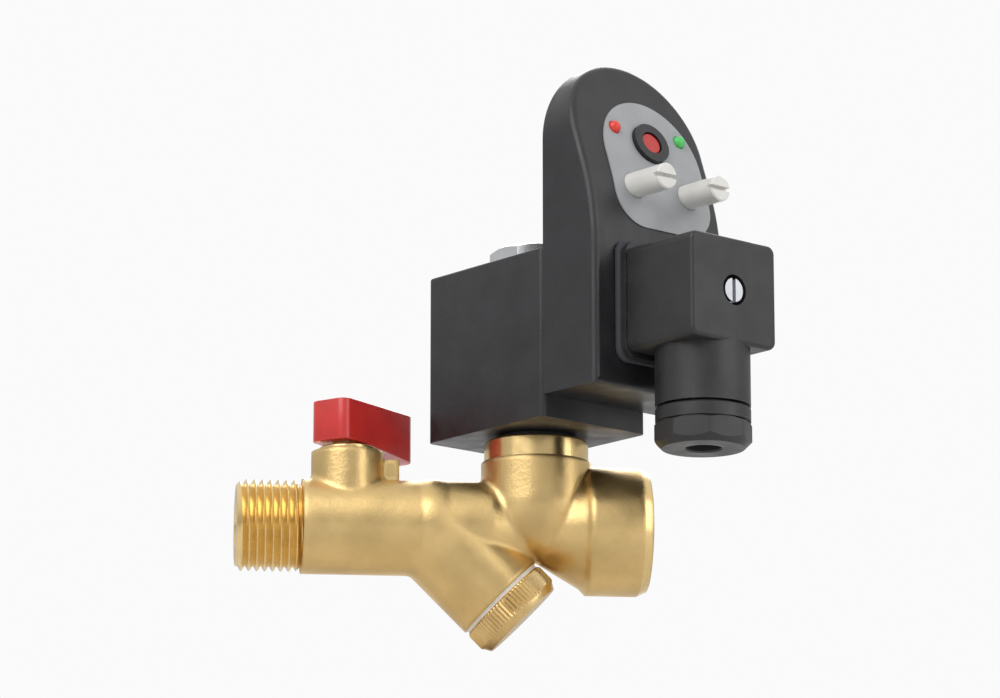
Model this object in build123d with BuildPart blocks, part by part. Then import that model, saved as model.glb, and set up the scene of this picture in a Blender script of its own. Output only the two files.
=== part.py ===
from build123d import *

import math
import os

# Timed drain valve for compressed air: a brass body with a ball valve, a strainer leg and a
# solenoid seat, a plug-in coil, and a timer with a rectangular cable plug on its front.
# Units are millimetres. The pipe runs along +X from the middle of the inlet's end face, and +Z is up.

# ---------------------------------------------------------------- shared sizes and clearances
fit = 0.05                  # radial running fit of turning and sliding pieces
seat_gap = 0.1              # radial room of pieces that are screwed or pushed together
free_gap = 0.3              # room between pieces that move past each other
edge_round = 0.6            # small broken edge of castings and mouldings

# ---------------------------------------------------------------- pipe run
thread_diameter = 20.955    # G1/2 outside thread
thread_core = 18.631        # G1/2 inside thread, bored size
nipple_length = 15.0
nipple_bore = 9.0
pipe_diameter = 21.8
passage_bore = 8.0

# ---------------------------------------------------------------- ball valve
stem_x = 25.5
ball_diameter = 14.3
ball_room = 17.0            # bore that holds the ball and its two seats
seat_width = 3.5
seat_reach = 7.5            # from the ball's middle to the back of each seat
seat_bore = 8.4
slot_width = 2.8
slot_floor = 4.7
tang_width = 6.0
stem_diameter = 6.0
collar_diameter = 8.0
collar_height = 2.2
boss_diameter = 16.7
boss_top = 17.2
packing_diameter = 10.8
packing_height = 2.4
packing_floor = 12.0
gland_flange = 13.2
gland_flange_height = 1.1
square_side = 5.0
square_top = 24.5
lug_x = 35.2
lug_length = 4.0
lug_width = 4.4
lug_top = 15.5

# ---------------------------------------------------------------- lever
lever_rest = 50.0           # lever's heading from the pipe, between open (0) and closed (90)
lever_width = 10.3
lever_reach = 19.4          # from the stem to the far end
lever_tail = 8.0
lever_top = 28.5
lever_floor = 19.0
lever_drop = 1.6            # how much lower the far end hangs
lever_round = 2.4
lever_screw_head = 7.0
lever_screw_height = 2.4
lever_screw_thread = 3.3
lever_screw_lift = 1.0      # from the lever's underside to the screw's end

# ---------------------------------------------------------------- strainer leg
leg_x = 45.0
leg_slope = 45.0
leg_diameter = 22.6
leg_length = 22.2
leg_bore = 17.0
screen_diameter = 12.0
screen_wall = 0.5
screen_start = 4.8
screen_end = 20.0
throat_bore = 9.0
cap_length = 6.5
cap_shank = 5.0
cap_chamfer = 1.4
gasket_height = 0.8

# ---------------------------------------------------------------- outlet
outlet_boss_diameter = 29.5
outlet_boss_start = 79.4
outlet_end = 94.4
outlet_thread_depth = 12.5
outlet_chamfer = 2.2
flare_start = 58.0
waist_diameter = 15.0
flare_diameter = 27.0
boss_blend = 1.2            # rounding in the corner under the stem boss
leg_blend = 2.5             # rounding between the pipe and the strainer leg
neck_blend = 1.5            # rounding between the pipe and the solenoid neck

# ---------------------------------------------------------------- solenoid seat and tube
coil_x = 69.0
neck_diameter = 25.4
neck_top = 15.5
pot_middle = 5.5            # height where the neck's round bottom starts
chamber_bore = 15.0
chamber_floor = 5.5
ledge_height = 9.6
collar_bore = 18.0
seat_post = 8.0
seat_top = 8.7
orifice = 4.0
feed_offset = 5.6           # feed duct, upstream of the orifice
feed_bore = 3.6
bonnet_diameter = 24.0
bonnet_height = 5.0
tube_diameter = 13.0
tube_wall = 0.6
tube_flange_height = 1.5
tube_below_top = 1.3        # from the tube's end to the coil's top
seal_height = 1.0
stroke = 2.5
plunger_length = 29.2
plunger_pocket = 3.0
seal_diameter = 6.4
spring_pocket = 6.4
spring_depth = 12.0
spring_diameter = 5.0
spring_wire = 0.7
spring_turns = 7
core_ring_outer = 9.6
core_ring_inner = 8.0
core_ring_height = 1.2
stud_diameter = 10.0
stud_proud = 0.6            # beyond the nut

# ---------------------------------------------------------------- coil
timer_heading = -55.5       # heading of the coil's terminal face from the pipe
coil_depth = 40.4
coil_width = 31.6
coil_height = 39.3
coil_wall = 3.0
coil_corner = 1.5
yoke_plate = 2.5
bobbin_wall = 1.0
bobbin_flange = 25.0
bobbin_flange_height = 1.5
winding_diameter = 23.5
nut_flats = 19.0
nut_height = 4.4
washer_diameter = 18.0
washer_height = 0.8
blade_width = 6.3
blade_thickness = 0.8
blade_spacing = 18.0

# ---------------------------------------------------------------- timer housing
timer_offset = 4.5          # the housing's middle from the coil's middle
timer_width = 40.0
timer_drop = 34.3           # from the coil's top down to the housing's floor
timer_side_height = 59.5    # from the floor to where the straight sides turn into the arch
timer_depth = 17.5
timer_wall = 2.0
bend_rise = 31.5            # from the floor to where the front starts to lean back
timer_bend_radius = 60.0
timer_lean = 19.0
timer_round = 1.6
board_gap = 1.0
board_thickness = 1.6
board_side_room = 4.5       # from the housing's sides
board_rise = 9.5            # from the housing's floor
board_drop = 13.0           # from the housing's top
pillar_diameter = 5.2
pillar_side_room = 5.5      # from the housing's sides
pillar_rise = 5.0           # from the housing's floor
pillar_drop = 6.5           # from the housing's top
case_screw_thread = 2.4
pilot_depth = 1.8
case_screw_head = 4.4
case_screw_head_height = 1.0

# ---------------------------------------------------------------- timer panel
panel_offset = 2.5          # the panel's middle from the housing's middle
panel_width = 29.0
panel_rise = 38.0           # from the housing's floor
panel_side_height = 18.0    # from the panel's floor to where its straight sides turn into its arch
panel_corner = 8.0
panel_recess = 0.5
panel_plate = 0.8
shaft_rise = 48.0           # from the housing's floor
shaft_spacing = 16.5
shaft_diameter = 6.0
shaft_reach = 9.0           # beyond the housing's front
spindle_diameter = 3.0
shaft_slot = 1.0
shaft_slot_depth = 1.6
trimmer_side = 10.0
trimmer_height = 6.0
lamp_rise = 62.5            # from the housing's floor
lamp_spacing = 20.0
lamp_diameter = 3.0
lamp_proud = 1.0
button_rise = 59.8          # from the housing's floor
button_diameter = 5.6
button_flange = 6.6
button_flange_height = 0.6
button_travel = 0.7
rim_diameter = 10.0
rim_height = 1.4
switch_side = 6.0
switch_height = 1.9

# ---------------------------------------------------------------- plug
plug_rise = 19.5            # from the housing's floor to the plug's middle
plug_gasket_room = 5.0      # from the outer blades' middles to the gasket's edge
plug_gasket_height = 1.5
plug_base_room = 4.3        # from the outer blades' middles to the shell's foot
plug_base_height = 1.5
plug_side_room = 3.8        # from the outer blades' middles to the shell's sides
plug_end_room = 3.0         # from the outer blades' middles to the shell's top and bottom
plug_depth = 21.3
plug_wall = 2.0
plug_corner = 3.0
plug_edge = 1.0
plug_front_wall = 4.2
block_depth = 8.0
screw_thread = 3.0
screw_tube = 6.4
screw_head = 5.4
screw_head_height = 2.2
screw_seal_height = 0.6
screw_recess = 7.0
screw_recess_depth = 3.0
screw_bite = 2.6
neck_outer = 21.4
neck_drop = 25.0            # from the plug's middle to the end of its neck
neck_thread = 17.4
neck_thread_drop = 31.6     # from the plug's middle to the end of its gland thread
neck_bore = 13.6
cable_bore = 8.0
gland_nut_sides = 8
gland_nut_flats = 20.6
gland_nut_turn = 10.0       # how its flats lie when it is tight
gland_ring_height = 3.2     # plain round part over the nut's flats
gland_nut_wall = 2.0
gland_washer_height = 0.8
grommet_rise = 11.6         # from the end of the gland thread
gland_nut_chamfer = 1.0

# ---------------------------------------------------------------- frames worked out from the sizes
terminal_way = Vector(1, 0, 0).rotate(Axis.Z, timer_heading)
width_way = Vector(0, 1, 0).rotate(Axis.Z, timer_heading)
lever_way = Vector(1, 0, 0).rotate(Axis.Z, lever_rest)
leg_way = Vector(1, 0, 0).rotate(Axis.Y, leg_slope)
terminal_axis = Axis(origin=(coil_x, 0, 0), direction=tuple(terminal_way))
coil_floor = neck_top + bonnet_height + seal_height
coil_top = coil_floor + coil_height
nut_floor = coil_top + washer_height
tube_top = coil_top - tube_below_top
stud_top = nut_floor + nut_height + stud_proud
core_floor = seat_top + free_gap + plunger_length + stroke
timer_floor = coil_top - timer_drop
timer_arch = timer_floor + timer_side_height
timer_top = timer_arch + timer_width / 2
timer_bend = timer_floor + bend_rise
board_width = timer_width - 2 * board_side_room
board_floor = timer_floor + board_rise
board_top = timer_top - board_drop
board_back = timer_wall + board_gap
board_front = board_back + board_thickness
bend_angle = math.radians(timer_lean)
lean_start = timer_bend + timer_bend_radius * math.sin(bend_angle)
lean_depth = timer_depth - timer_bend_radius * (1 - math.cos(bend_angle))
pillar_spacing = timer_width - 2 * pillar_side_room
pillar_floor = timer_floor + pillar_rise
pillar_top = timer_top - pillar_drop
panel_middle = timer_offset + panel_offset
panel_floor = timer_floor + panel_rise
panel_arch = panel_floor + panel_side_height
shaft_height = timer_floor + shaft_rise
lamp_height = timer_floor + lamp_rise
button_height = timer_floor + button_rise
plug_height = timer_floor + plug_rise
plug_gasket_side = blade_spacing + 2 * plug_gasket_room
plug_base_side = blade_spacing + 2 * plug_base_room
plug_width = blade_spacing + 2 * plug_side_room
plug_tall = blade_spacing + 2 * plug_end_room
neck_floor = plug_height - neck_drop
neck_thread_floor = plug_height - neck_thread_drop
gland_nut_top = neck_floor - free_gap - seat_gap
grommet_top = neck_thread_floor + grommet_rise
plug_back = timer_depth + plug_gasket_height
plug_front = plug_back + plug_base_height + plug_depth
gland_depth = plug_back + plug_base_height + plug_depth / 2
shaft_tip = timer_depth + shaft_reach
trimmer_front = board_front + trimmer_height
button_proud = button_travel + free_gap
pillar_places = ((timer_offset - pillar_spacing / 2, pillar_floor),
                 (timer_offset + pillar_spacing / 2, pillar_floor), (timer_offset, pillar_top))
lamp_places = ((panel_middle - lamp_spacing / 2, lamp_height), (panel_middle + lamp_spacing / 2, lamp_height))
shaft_places = ((panel_middle - shaft_spacing / 2, shaft_height),
                (panel_middle + shaft_spacing / 2, shaft_height))
screw_place = ((timer_offset, plug_height),)


def across(x):
    """Plane square to the pipe, facing the outlet."""
    return Plane(origin=(x, 0, 0), x_dir=(0, 1, 0), z_dir=(1, 0, 0))


def down_leg(distance):
    """Plane square to the strainer leg, a distance along it from the pipe's axis."""
    start = Vector(leg_x, 0, 0) + leg_way * distance
    return Plane(origin=start, x_dir=(0, 1, 0), z_dir=leg_way)


def over_stem(height):
    """Level plane over the ball's middle, with its X along the lever."""
    return Plane(origin=(stem_x, 0, height), x_dir=lever_way, z_dir=(0, 0, 1))


def over_coil(height):
    """Level plane on the solenoid's axis, with its X towards the terminal face."""
    return Plane(origin=(coil_x, 0, height), x_dir=terminal_way, z_dir=(0, 0, 1))


def on_face(depth):
    """Plane in front of the coil's terminal face, with its X across the coil and its Y up."""
    start = Vector(coil_x, 0, 0) + terminal_way * (coil_depth / 2 + depth)
    return Plane(origin=start, x_dir=width_way, z_dir=terminal_way)


def beside_timer():
    """Upright plane through the timer's middle, with its X out of the coil's face and its Y up."""
    start = Vector(coil_x, 0, 0) + terminal_way * (coil_depth / 2) + width_way * timer_offset
    return Plane(origin=start, x_dir=terminal_way, z_dir=width_way * -1)


def stub(plane, diameter, length, mode=Mode.ADD):
    """Round bar or, with Mode.SUBTRACT, a bore from a plane along its normal."""
    with BuildSketch(plane) as outline:
        Circle(diameter / 2)
    extrude(outline.sketch, amount=length, mode=mode)


def block(plane, middle, width, height, length, corner=0.0, mode=Mode.ADD):
    """Rectangular bar, with rounded corners if asked, from a plane along its normal."""
    with BuildSketch(plane) as outline:
        with Locations(middle):
            if corner:
                RectangleRounded(width, height, corner)
            else:
                Rectangle(width, height)
    extrude(outline.sketch, amount=length, mode=mode)


def timer_outline(inset, plane):
    """Front view of the timer housing, drawn in by an even inset."""
    half = timer_width / 2 - inset
    with BuildSketch(plane) as outline:
        left, right = timer_offset - half, timer_offset + half
        with BuildLine():
            Polyline((left, timer_arch), (left, timer_floor + inset), (right, timer_floor + inset),
                     (right, timer_arch))
            RadiusArc((right, timer_arch), (left, timer_arch), -half)
        make_face()
    return outline.sketch


def timer_side(inset):
    """Side view of the timer housing: upright below, then bent and leaning back."""
    crown = timer_top + timer_wall
    bend_x = timer_depth - inset
    lean_x = lean_depth - inset * math.cos(bend_angle)
    lean_z = lean_start - inset * math.sin(bend_angle)
    crown_x = lean_x - (crown - lean_z) * math.tan(bend_angle)
    with BuildSketch(beside_timer()) as outline:
        with BuildLine():
            Line((-timer_wall, 0), (bend_x, 0))
            Line((bend_x, 0), (bend_x, timer_bend))
            RadiusArc((bend_x, timer_bend), (lean_x, lean_z), inset - timer_bend_radius)
            Line((lean_x, lean_z), (crown_x, crown))
            Line((crown_x, crown), (-timer_wall, crown))
            Line((-timer_wall, crown), (-timer_wall, 0))
        make_face()
    return outline.sketch


def front_depth(height):
    """Depth of the leaning part of the timer's front at a height."""
    return lean_depth - (height - lean_start) * math.tan(bend_angle)


def on_lean(height):
    """Plane on the leaning part of the timer's front, at a height on the panel's middle line."""
    lean_way = terminal_way * math.cos(bend_angle) + Vector(0, 0, math.sin(bend_angle))
    return Plane(origin=on_face(front_depth(height)).from_local_coords((panel_middle, height, 0)),
                 x_dir=width_way, z_dir=lean_way)


def over_gland(height):
    """Level plane on the axis of the cable gland."""
    middle = on_face(gland_depth).from_local_coords((timer_offset, 0, 0))
    return Plane(origin=middle + Vector(0, 0, height), x_dir=terminal_way, z_dir=(0, 0, 1))


def facing(places, depth, diameter, length, mode=Mode.ADD):
    """Round bars or holes square to the terminal face, at places across and up it."""
    with BuildSketch(on_face(depth)) as outline:
        with Locations(*places):
            Circle(diameter / 2)
    extrude(outline.sketch, amount=length, mode=mode)


def blades(depth, length, room=0.0, mode=Mode.ADD):
    """Two flat blades and an earth blade, or the slots that they pass through."""
    half = blade_spacing / 2
    with BuildSketch(on_face(depth)) as outline:
        with Locations((timer_offset, plug_height - half), (timer_offset, plug_height + half)):
            Rectangle(blade_width + room, blade_thickness + room)
        with Locations((timer_offset - half, plug_height)):
            Rectangle(blade_thickness + room, blade_width + room)
    extrude(outline.sketch, amount=length, mode=mode)


def panel_outline(plane):
    """Front view of the panel plate: an arch with large rounded lower corners."""
    half = panel_width / 2
    with BuildSketch(plane) as outline:
        left, right = panel_middle - half, panel_middle + half
        with BuildLine():
            Polyline((left, panel_arch), (left, panel_floor), (right, panel_floor), (right, panel_arch))
            RadiusArc((right, panel_arch), (left, panel_arch), -half)
        make_face()
        fillet(outline.vertices().sort_by(Axis.Y)[:2], panel_corner)
    return outline.sketch


# ================================================================ brass body
with BuildPart() as valve_body:
    # Outside: run, flare, outlet boss, strainer leg, neck and stem boss.
    with BuildSketch(Plane.XZ):
        with BuildLine():
            Polyline((nipple_length, 0), (nipple_length, pipe_diameter / 2),
                     (flare_start, pipe_diameter / 2), (coil_x, waist_diameter / 2),
                     (outlet_boss_start, flare_diameter / 2),
                     (outlet_boss_start, outlet_boss_diameter / 2 - outlet_chamfer / 2),
                     (outlet_boss_start + outlet_chamfer / 2, outlet_boss_diameter / 2),
                     (outlet_end - outlet_chamfer, outlet_boss_diameter / 2),
                     (outlet_end, outlet_boss_diameter / 2 - outlet_chamfer / 2),
                     (outlet_end, 0), close=True)
        make_face()
    revolve(axis=Axis.X)
    with Locations((leg_x, 0, 0)):
        Sphere(leg_diameter / 2)
    stub(down_leg(0), leg_diameter, leg_length)
    stub(over_coil(pot_middle), neck_diameter, neck_top - pot_middle)
    with Locations((coil_x, 0, pot_middle)):
        Sphere(neck_diameter / 2)
    stub(over_stem(0), boss_diameter, boss_top)
    block(Plane.XY, (lug_x, 0), lug_length, lug_width, lug_top)
    # Forging radii in the corners where the limbs run into each other.
    for start, end, top, blend in ((flare_start - leg_blend, coil_x - orifice, neck_top, neck_blend),
                                   (nipple_length, lug_x, boss_top, boss_blend),
                                   (lug_x, flare_start - leg_blend, 0, leg_blend)):
        creases = valve_body.edges().filter_by(GeomType.BSPLINE).filter_by_position(Axis.X, start, end)
        fillet(creases.filter_by_position(Axis.Z, -leg_length, top), blend)
    # Ball room and the passage behind it.
    stub(across(nipple_length), ball_room, stem_x + seat_reach - nipple_length, Mode.SUBTRACT)
    stub(across(stem_x), passage_bore, leg_x - stem_x, Mode.SUBTRACT)
    # Stem bore, widened above for the packing and its gland nut, and below for the stem's collar.
    stub(over_stem(0), stem_diameter + 2 * fit, boss_top, Mode.SUBTRACT)
    stub(over_stem(0), collar_diameter + 2 * seat_gap, packing_floor - collar_height, Mode.SUBTRACT)
    stub(over_stem(packing_floor), packing_diameter + 2 * seat_gap, boss_top - packing_floor, Mode.SUBTRACT)
    # Strainer room, with a throat and a step for the screen.
    stub(down_leg(0), throat_bore, screen_start, Mode.SUBTRACT)
    stub(down_leg(screen_start), screen_diameter + 2 * seat_gap, seal_height, Mode.SUBTRACT)
    stub(down_leg(screen_start + seal_height), leg_bore, leg_length - screen_start - seal_height, Mode.SUBTRACT)
    # Solenoid chamber with the seat post in its middle.
    stub(over_coil(ledge_height), collar_bore, neck_diameter, Mode.SUBTRACT)
    stub(over_coil(chamber_floor), chamber_bore, ledge_height - chamber_floor, Mode.SUBTRACT)
    stub(over_coil(chamber_floor), seat_post, seat_top - chamber_floor)
    stub(over_coil(0), orifice, seat_top, Mode.SUBTRACT)
    feed = Plane(origin=(coil_x - feed_offset, 0, -leg_bore / 2))
    stub(feed, feed_bore, chamber_floor + leg_bore / 2, Mode.SUBTRACT)
    # Outlet passage and its threaded mouth.
    stub(across(coil_x - orifice / 2), orifice, outlet_end - coil_x, Mode.SUBTRACT)
    stub(across(outlet_end - outlet_thread_depth), thread_core, outlet_thread_depth, Mode.SUBTRACT)

with BuildPart() as inlet_nipple:
    stub(across(0), thread_diameter, nipple_length)
    shank_length = stem_x - seat_reach - nipple_length
    stub(across(nipple_length), ball_room - 2 * seat_gap, shank_length)
    stub(across(0), nipple_bore, nipple_length + shank_length, Mode.SUBTRACT)

# ================================================================ ball valve
with BuildPart() as ball:
    with Locations((stem_x, 0, 0)):
        Sphere(ball_diameter / 2)
    bore_plane = Plane(origin=Vector(stem_x, 0, 0) - lever_way * ball_diameter, z_dir=lever_way)
    stub(bore_plane, passage_bore, 2 * ball_diameter, Mode.SUBTRACT)
    block(over_stem(slot_floor), (0, 0), slot_width, ball_diameter, ball_diameter, mode=Mode.SUBTRACT)

with BuildPart() as inlet_ball_seat:
    stub(across(stem_x - seat_reach), ball_room - 2 * seat_gap, seat_width)
    stub(across(stem_x - seat_reach), seat_bore, seat_width, Mode.SUBTRACT)
    with Locations((stem_x, 0, 0)):
        Sphere(ball_diameter / 2 + fit, mode=Mode.SUBTRACT)

with BuildPart() as outlet_ball_seat:
    mirror(inlet_ball_seat.part, about=across(stem_x))

with BuildPart() as valve_stem:
    collar_floor = packing_floor - collar_height - seat_gap - collar_height
    block(over_stem(slot_floor + seat_gap), (0, 0), slot_width - 2 * seat_gap, tang_width,
          collar_floor - slot_floor)
    stub(over_stem(collar_floor), collar_diameter, collar_height)
    square_floor = boss_top + gland_flange_height + seat_gap
    stub(over_stem(collar_floor), stem_diameter, square_floor - collar_floor)
    block(over_stem(square_floor), (0, 0), square_side, square_side, square_top - square_floor)
    stub(over_stem(lever_floor), lever_screw_thread, square_top - lever_floor, Mode.SUBTRACT)

with BuildPart() as stem_packing:
    stub(over_stem(packing_floor), packing_diameter, packing_height)
    stub(over_stem(packing_floor), stem_diameter + 2 * fit, packing_height, Mode.SUBTRACT)

with BuildPart() as stem_gland_nut:
    stub(over_stem(packing_floor + packing_height), packing_diameter, boss_top - packing_floor - packing_height)
    stub(over_stem(boss_top), gland_flange, gland_flange_height)
    stub(over_stem(packing_floor), stem_diameter + 2 * fit, lever_top - packing_floor, Mode.SUBTRACT)

with BuildPart() as lever:
    side = Plane(origin=(stem_x, 0, 0), x_dir=lever_way, z_dir=lever_way.cross(Vector(0, 0, 1)))
    with BuildSketch(side) as lever_side:
        with BuildLine():
            Polyline((-lever_tail, lever_floor), (0, lever_floor), (lever_reach, lever_floor - lever_drop),
                     (lever_reach, lever_top), (-lever_tail, lever_top), close=True)
        make_face()
    extrude(amount=lever_width / 2, both=True)
    fillet(lever.edges().filter_by(Axis.Z), lever_round)
    stub(over_stem(lever_top - lever_screw_height), lever_screw_head + 4 * seat_gap, lever_screw_height,
         Mode.SUBTRACT)
    stub(over_stem(lever_floor), lever_screw_thread + 4 * seat_gap, lever_top - lever_floor, Mode.SUBTRACT)
    block(over_stem(lever_floor - lever_drop), (0, 0), square_side + 2 * seat_gap, square_side + 2 * seat_gap,
          square_top + seat_gap - lever_floor + lever_drop, mode=Mode.SUBTRACT)

with BuildPart() as lever_screw:
    stub(over_stem(lever_top - lever_screw_height), lever_screw_head, lever_screw_height)
    stub(over_stem(lever_floor + lever_screw_lift), lever_screw_thread - 2 * fit,
         lever_top - lever_screw_height - lever_floor - lever_screw_lift)

# ================================================================ strainer
with BuildPart() as strainer_screen:
    stub(down_leg(screen_start), screen_diameter, screen_end - screen_start)
    stub(down_leg(screen_start), screen_diameter - 2 * screen_wall, screen_end - screen_start, Mode.SUBTRACT)

with BuildPart() as strainer_gasket:
    stub(down_leg(leg_length), leg_diameter - 2 * edge_round, gasket_height)
    stub(down_leg(leg_length), leg_bore, gasket_height, Mode.SUBTRACT)

with BuildPart() as strainer_cap:
    stub(down_leg(leg_length + gasket_height), leg_diameter, cap_length)
    cap_rim = strainer_cap.faces().sort_by(Axis.Z)[0].edges()
    chamfer(cap_rim, cap_chamfer)
    stub(down_leg(leg_length - cap_shank), leg_bore - 2 * seat_gap, cap_shank + gasket_height)
    stub(down_leg(leg_length - cap_shank), screen_diameter + 2 * seat_gap,
         screen_end + cap_shank - leg_length + seat_gap, Mode.SUBTRACT)

# ================================================================ solenoid tube and plunger
with BuildPart() as bonnet_seal:
    stub(over_coil(ledge_height), collar_bore - 2 * seat_gap, seal_height)
    stub(over_coil(ledge_height), chamber_bore, seal_height, Mode.SUBTRACT)

with BuildPart() as armature_tube:
    tube_floor = ledge_height + seal_height
    stub(over_coil(tube_floor), collar_bore - 2 * seat_gap, tube_flange_height)
    stub(over_coil(tube_floor), tube_diameter, tube_top - tube_floor)
    stub(over_coil(tube_floor), tube_diameter - 2 * tube_wall, tube_top - tube_floor, Mode.SUBTRACT)

with BuildPart() as bonnet_collar:
    shank_floor = tube_floor + tube_flange_height
    stub(over_coil(shank_floor), collar_bore - 2 * seat_gap, neck_top - shank_floor)
    stub(over_coil(neck_top), bonnet_diameter, bonnet_height)
    fillet(bonnet_collar.faces().sort_by(Axis.Z)[-1].edges(), edge_round)
    stub(over_coil(shank_floor), tube_diameter + 2 * seat_gap, coil_floor - shank_floor, Mode.SUBTRACT)

with BuildPart() as fixed_core:
    core_diameter = tube_diameter - 2 * tube_wall - 2 * fit
    stub(over_coil(core_floor), core_diameter, tube_top - core_floor)
    stub(over_coil(tube_top), stud_diameter, stud_top - tube_top)
    chamfer(fixed_core.faces().sort_by(Axis.Z)[-1].edges(), edge_round)
    with BuildSketch(over_coil(core_floor)) as ring_groove:
        Circle(core_ring_outer / 2)
        Circle(core_ring_inner / 2, mode=Mode.SUBTRACT)
    extrude(ring_groove.sketch, amount=core_ring_height, mode=Mode.SUBTRACT)

with BuildPart() as shading_ring:
    with BuildSketch(over_coil(core_floor)) as ring_outline:
        Circle(core_ring_outer / 2)
        Circle(core_ring_inner / 2, mode=Mode.SUBTRACT)
    extrude(ring_outline.sketch, amount=core_ring_height)

with BuildPart() as plunger:
    plunger_floor = seat_top + free_gap
    plunger_diameter = tube_diameter - 2 * tube_wall - 2 * seat_gap
    stub(over_coil(plunger_floor), plunger_diameter, plunger_length)
    stub(over_coil(plunger_floor), seal_diameter, plunger_pocket, Mode.SUBTRACT)
    stub(over_coil(plunger_floor + plunger_length - spring_depth), spring_pocket, spring_depth, Mode.SUBTRACT)

with BuildPart() as plunger_seal:
    stub(over_coil(plunger_floor), seal_diameter, plunger_pocket)

with BuildPart() as plunger_spring:
    spring_floor = plunger_floor + plunger_length - spring_depth
    spring_length = core_floor - spring_floor
    spring_radius = (spring_diameter - spring_wire) / 2
    coil_rise = spring_length - spring_wire - 2 * fit
    spring_start = Vector(coil_x, 0, spring_floor + spring_wire / 2 + fit)
    with BuildLine():
        wire_path = Helix(coil_rise / spring_turns, coil_rise, spring_radius, center=spring_start)
    with BuildSketch(Plane(origin=wire_path @ 0, z_dir=wire_path % 0)):
        Circle(spring_wire / 2)
    sweep()

# ================================================================ coil
with BuildPart() as coil_seal:
    stub(over_coil(neck_top + bonnet_height), bonnet_diameter - 2 * coil_wall, seal_height)
    stub(over_coil(neck_top + bonnet_height), tube_diameter + 2 * seat_gap, seal_height, Mode.SUBTRACT)

with BuildPart() as coil_case:
    block(over_coil(coil_floor), (0, 0), coil_depth, coil_width, coil_height, coil_corner)
    fillet(coil_case.faces().sort_by(Axis.Z)[-1].edges(), edge_round)
    inside_height = coil_height - 2 * coil_wall
    block(over_coil(coil_floor + coil_wall), (0, 0), coil_depth - 2 * coil_wall, coil_width - 2 * coil_wall,
          inside_height, mode=Mode.SUBTRACT)
    stub(over_coil(coil_floor), tube_diameter + 2 * seat_gap, coil_height, Mode.SUBTRACT)
    blades(-coil_wall, coil_wall, mode=Mode.SUBTRACT)
    facing(screw_place, -coil_wall, screw_thread + 2 * fit, coil_wall, Mode.SUBTRACT)

with BuildPart() as coil_yoke:
    yoke_floor = coil_floor + coil_wall
    yoke_depth = coil_depth - 2 * coil_wall
    yoke_width = coil_width - 2 * coil_wall - 2 * seat_gap
    block(over_coil(yoke_floor), (0, 0), yoke_depth, yoke_width, inside_height)
    block(over_coil(yoke_floor + yoke_plate), (yoke_plate / 2, 0), yoke_depth - yoke_plate, yoke_width,
          inside_height - 2 * yoke_plate, mode=Mode.SUBTRACT)
    stub(over_coil(yoke_floor), tube_diameter + 2 * seat_gap, inside_height, Mode.SUBTRACT)

with BuildPart() as coil_bobbin:
    bobbin_floor = yoke_floor + yoke_plate
    bobbin_height = inside_height - 2 * yoke_plate
    barrel = tube_diameter + 2 * seat_gap + 2 * bobbin_wall
    stub(over_coil(bobbin_floor), barrel, bobbin_height)
    stub(over_coil(bobbin_floor), bobbin_flange, bobbin_flange_height)
    stub(over_coil(bobbin_floor + bobbin_height - bobbin_flange_height), bobbin_flange, bobbin_flange_height)
    stub(over_coil(bobbin_floor), tube_diameter + 2 * seat_gap, bobbin_height, Mode.SUBTRACT)

with BuildPart() as coil_winding:
    winding_floor = bobbin_floor + bobbin_flange_height
    winding_height = bobbin_height - 2 * bobbin_flange_height
    stub(over_coil(winding_floor), winding_diameter, winding_height)
    stub(over_coil(winding_floor), barrel, winding_height, Mode.SUBTRACT)

with BuildPart() as coil_terminals:
    blades(-coil_wall, coil_wall + board_back + board_thickness / 2)

with BuildPart() as coil_washer:
    stub(over_coil(coil_top), washer_diameter, washer_height)
    stub(over_coil(coil_top), stud_diameter + 2 * seat_gap, washer_height, Mode.SUBTRACT)

with BuildPart() as coil_nut:
    with BuildSketch(over_coil(nut_floor)):
        RegularPolygon(nut_flats / 2, 6, major_radius=False)
        Circle(stud_diameter / 2 + fit, mode=Mode.SUBTRACT)
    extrude(amount=nut_height)

# ================================================================ timer housing
with BuildPart() as timer_room:
    extrude(timer_outline(timer_wall, on_face(0)), amount=timer_depth)
    extrude(timer_side(timer_wall), amount=timer_width, both=True, mode=Mode.INTERSECT)

with BuildPart() as case_pillars:
    facing(pillar_places, timer_wall, pillar_diameter, timer_depth)
    extrude(timer_side(timer_wall / 2), amount=timer_width, both=True, mode=Mode.INTERSECT)
    facing(pillar_places, timer_wall, case_screw_thread, pilot_depth, Mode.SUBTRACT)

with BuildPart() as panel_bed:
    extrude(panel_outline(on_face(0)), amount=timer_depth + timer_wall)
    extrude(timer_side(panel_recess), amount=timer_width, both=True, mode=Mode.SUBTRACT)

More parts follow.
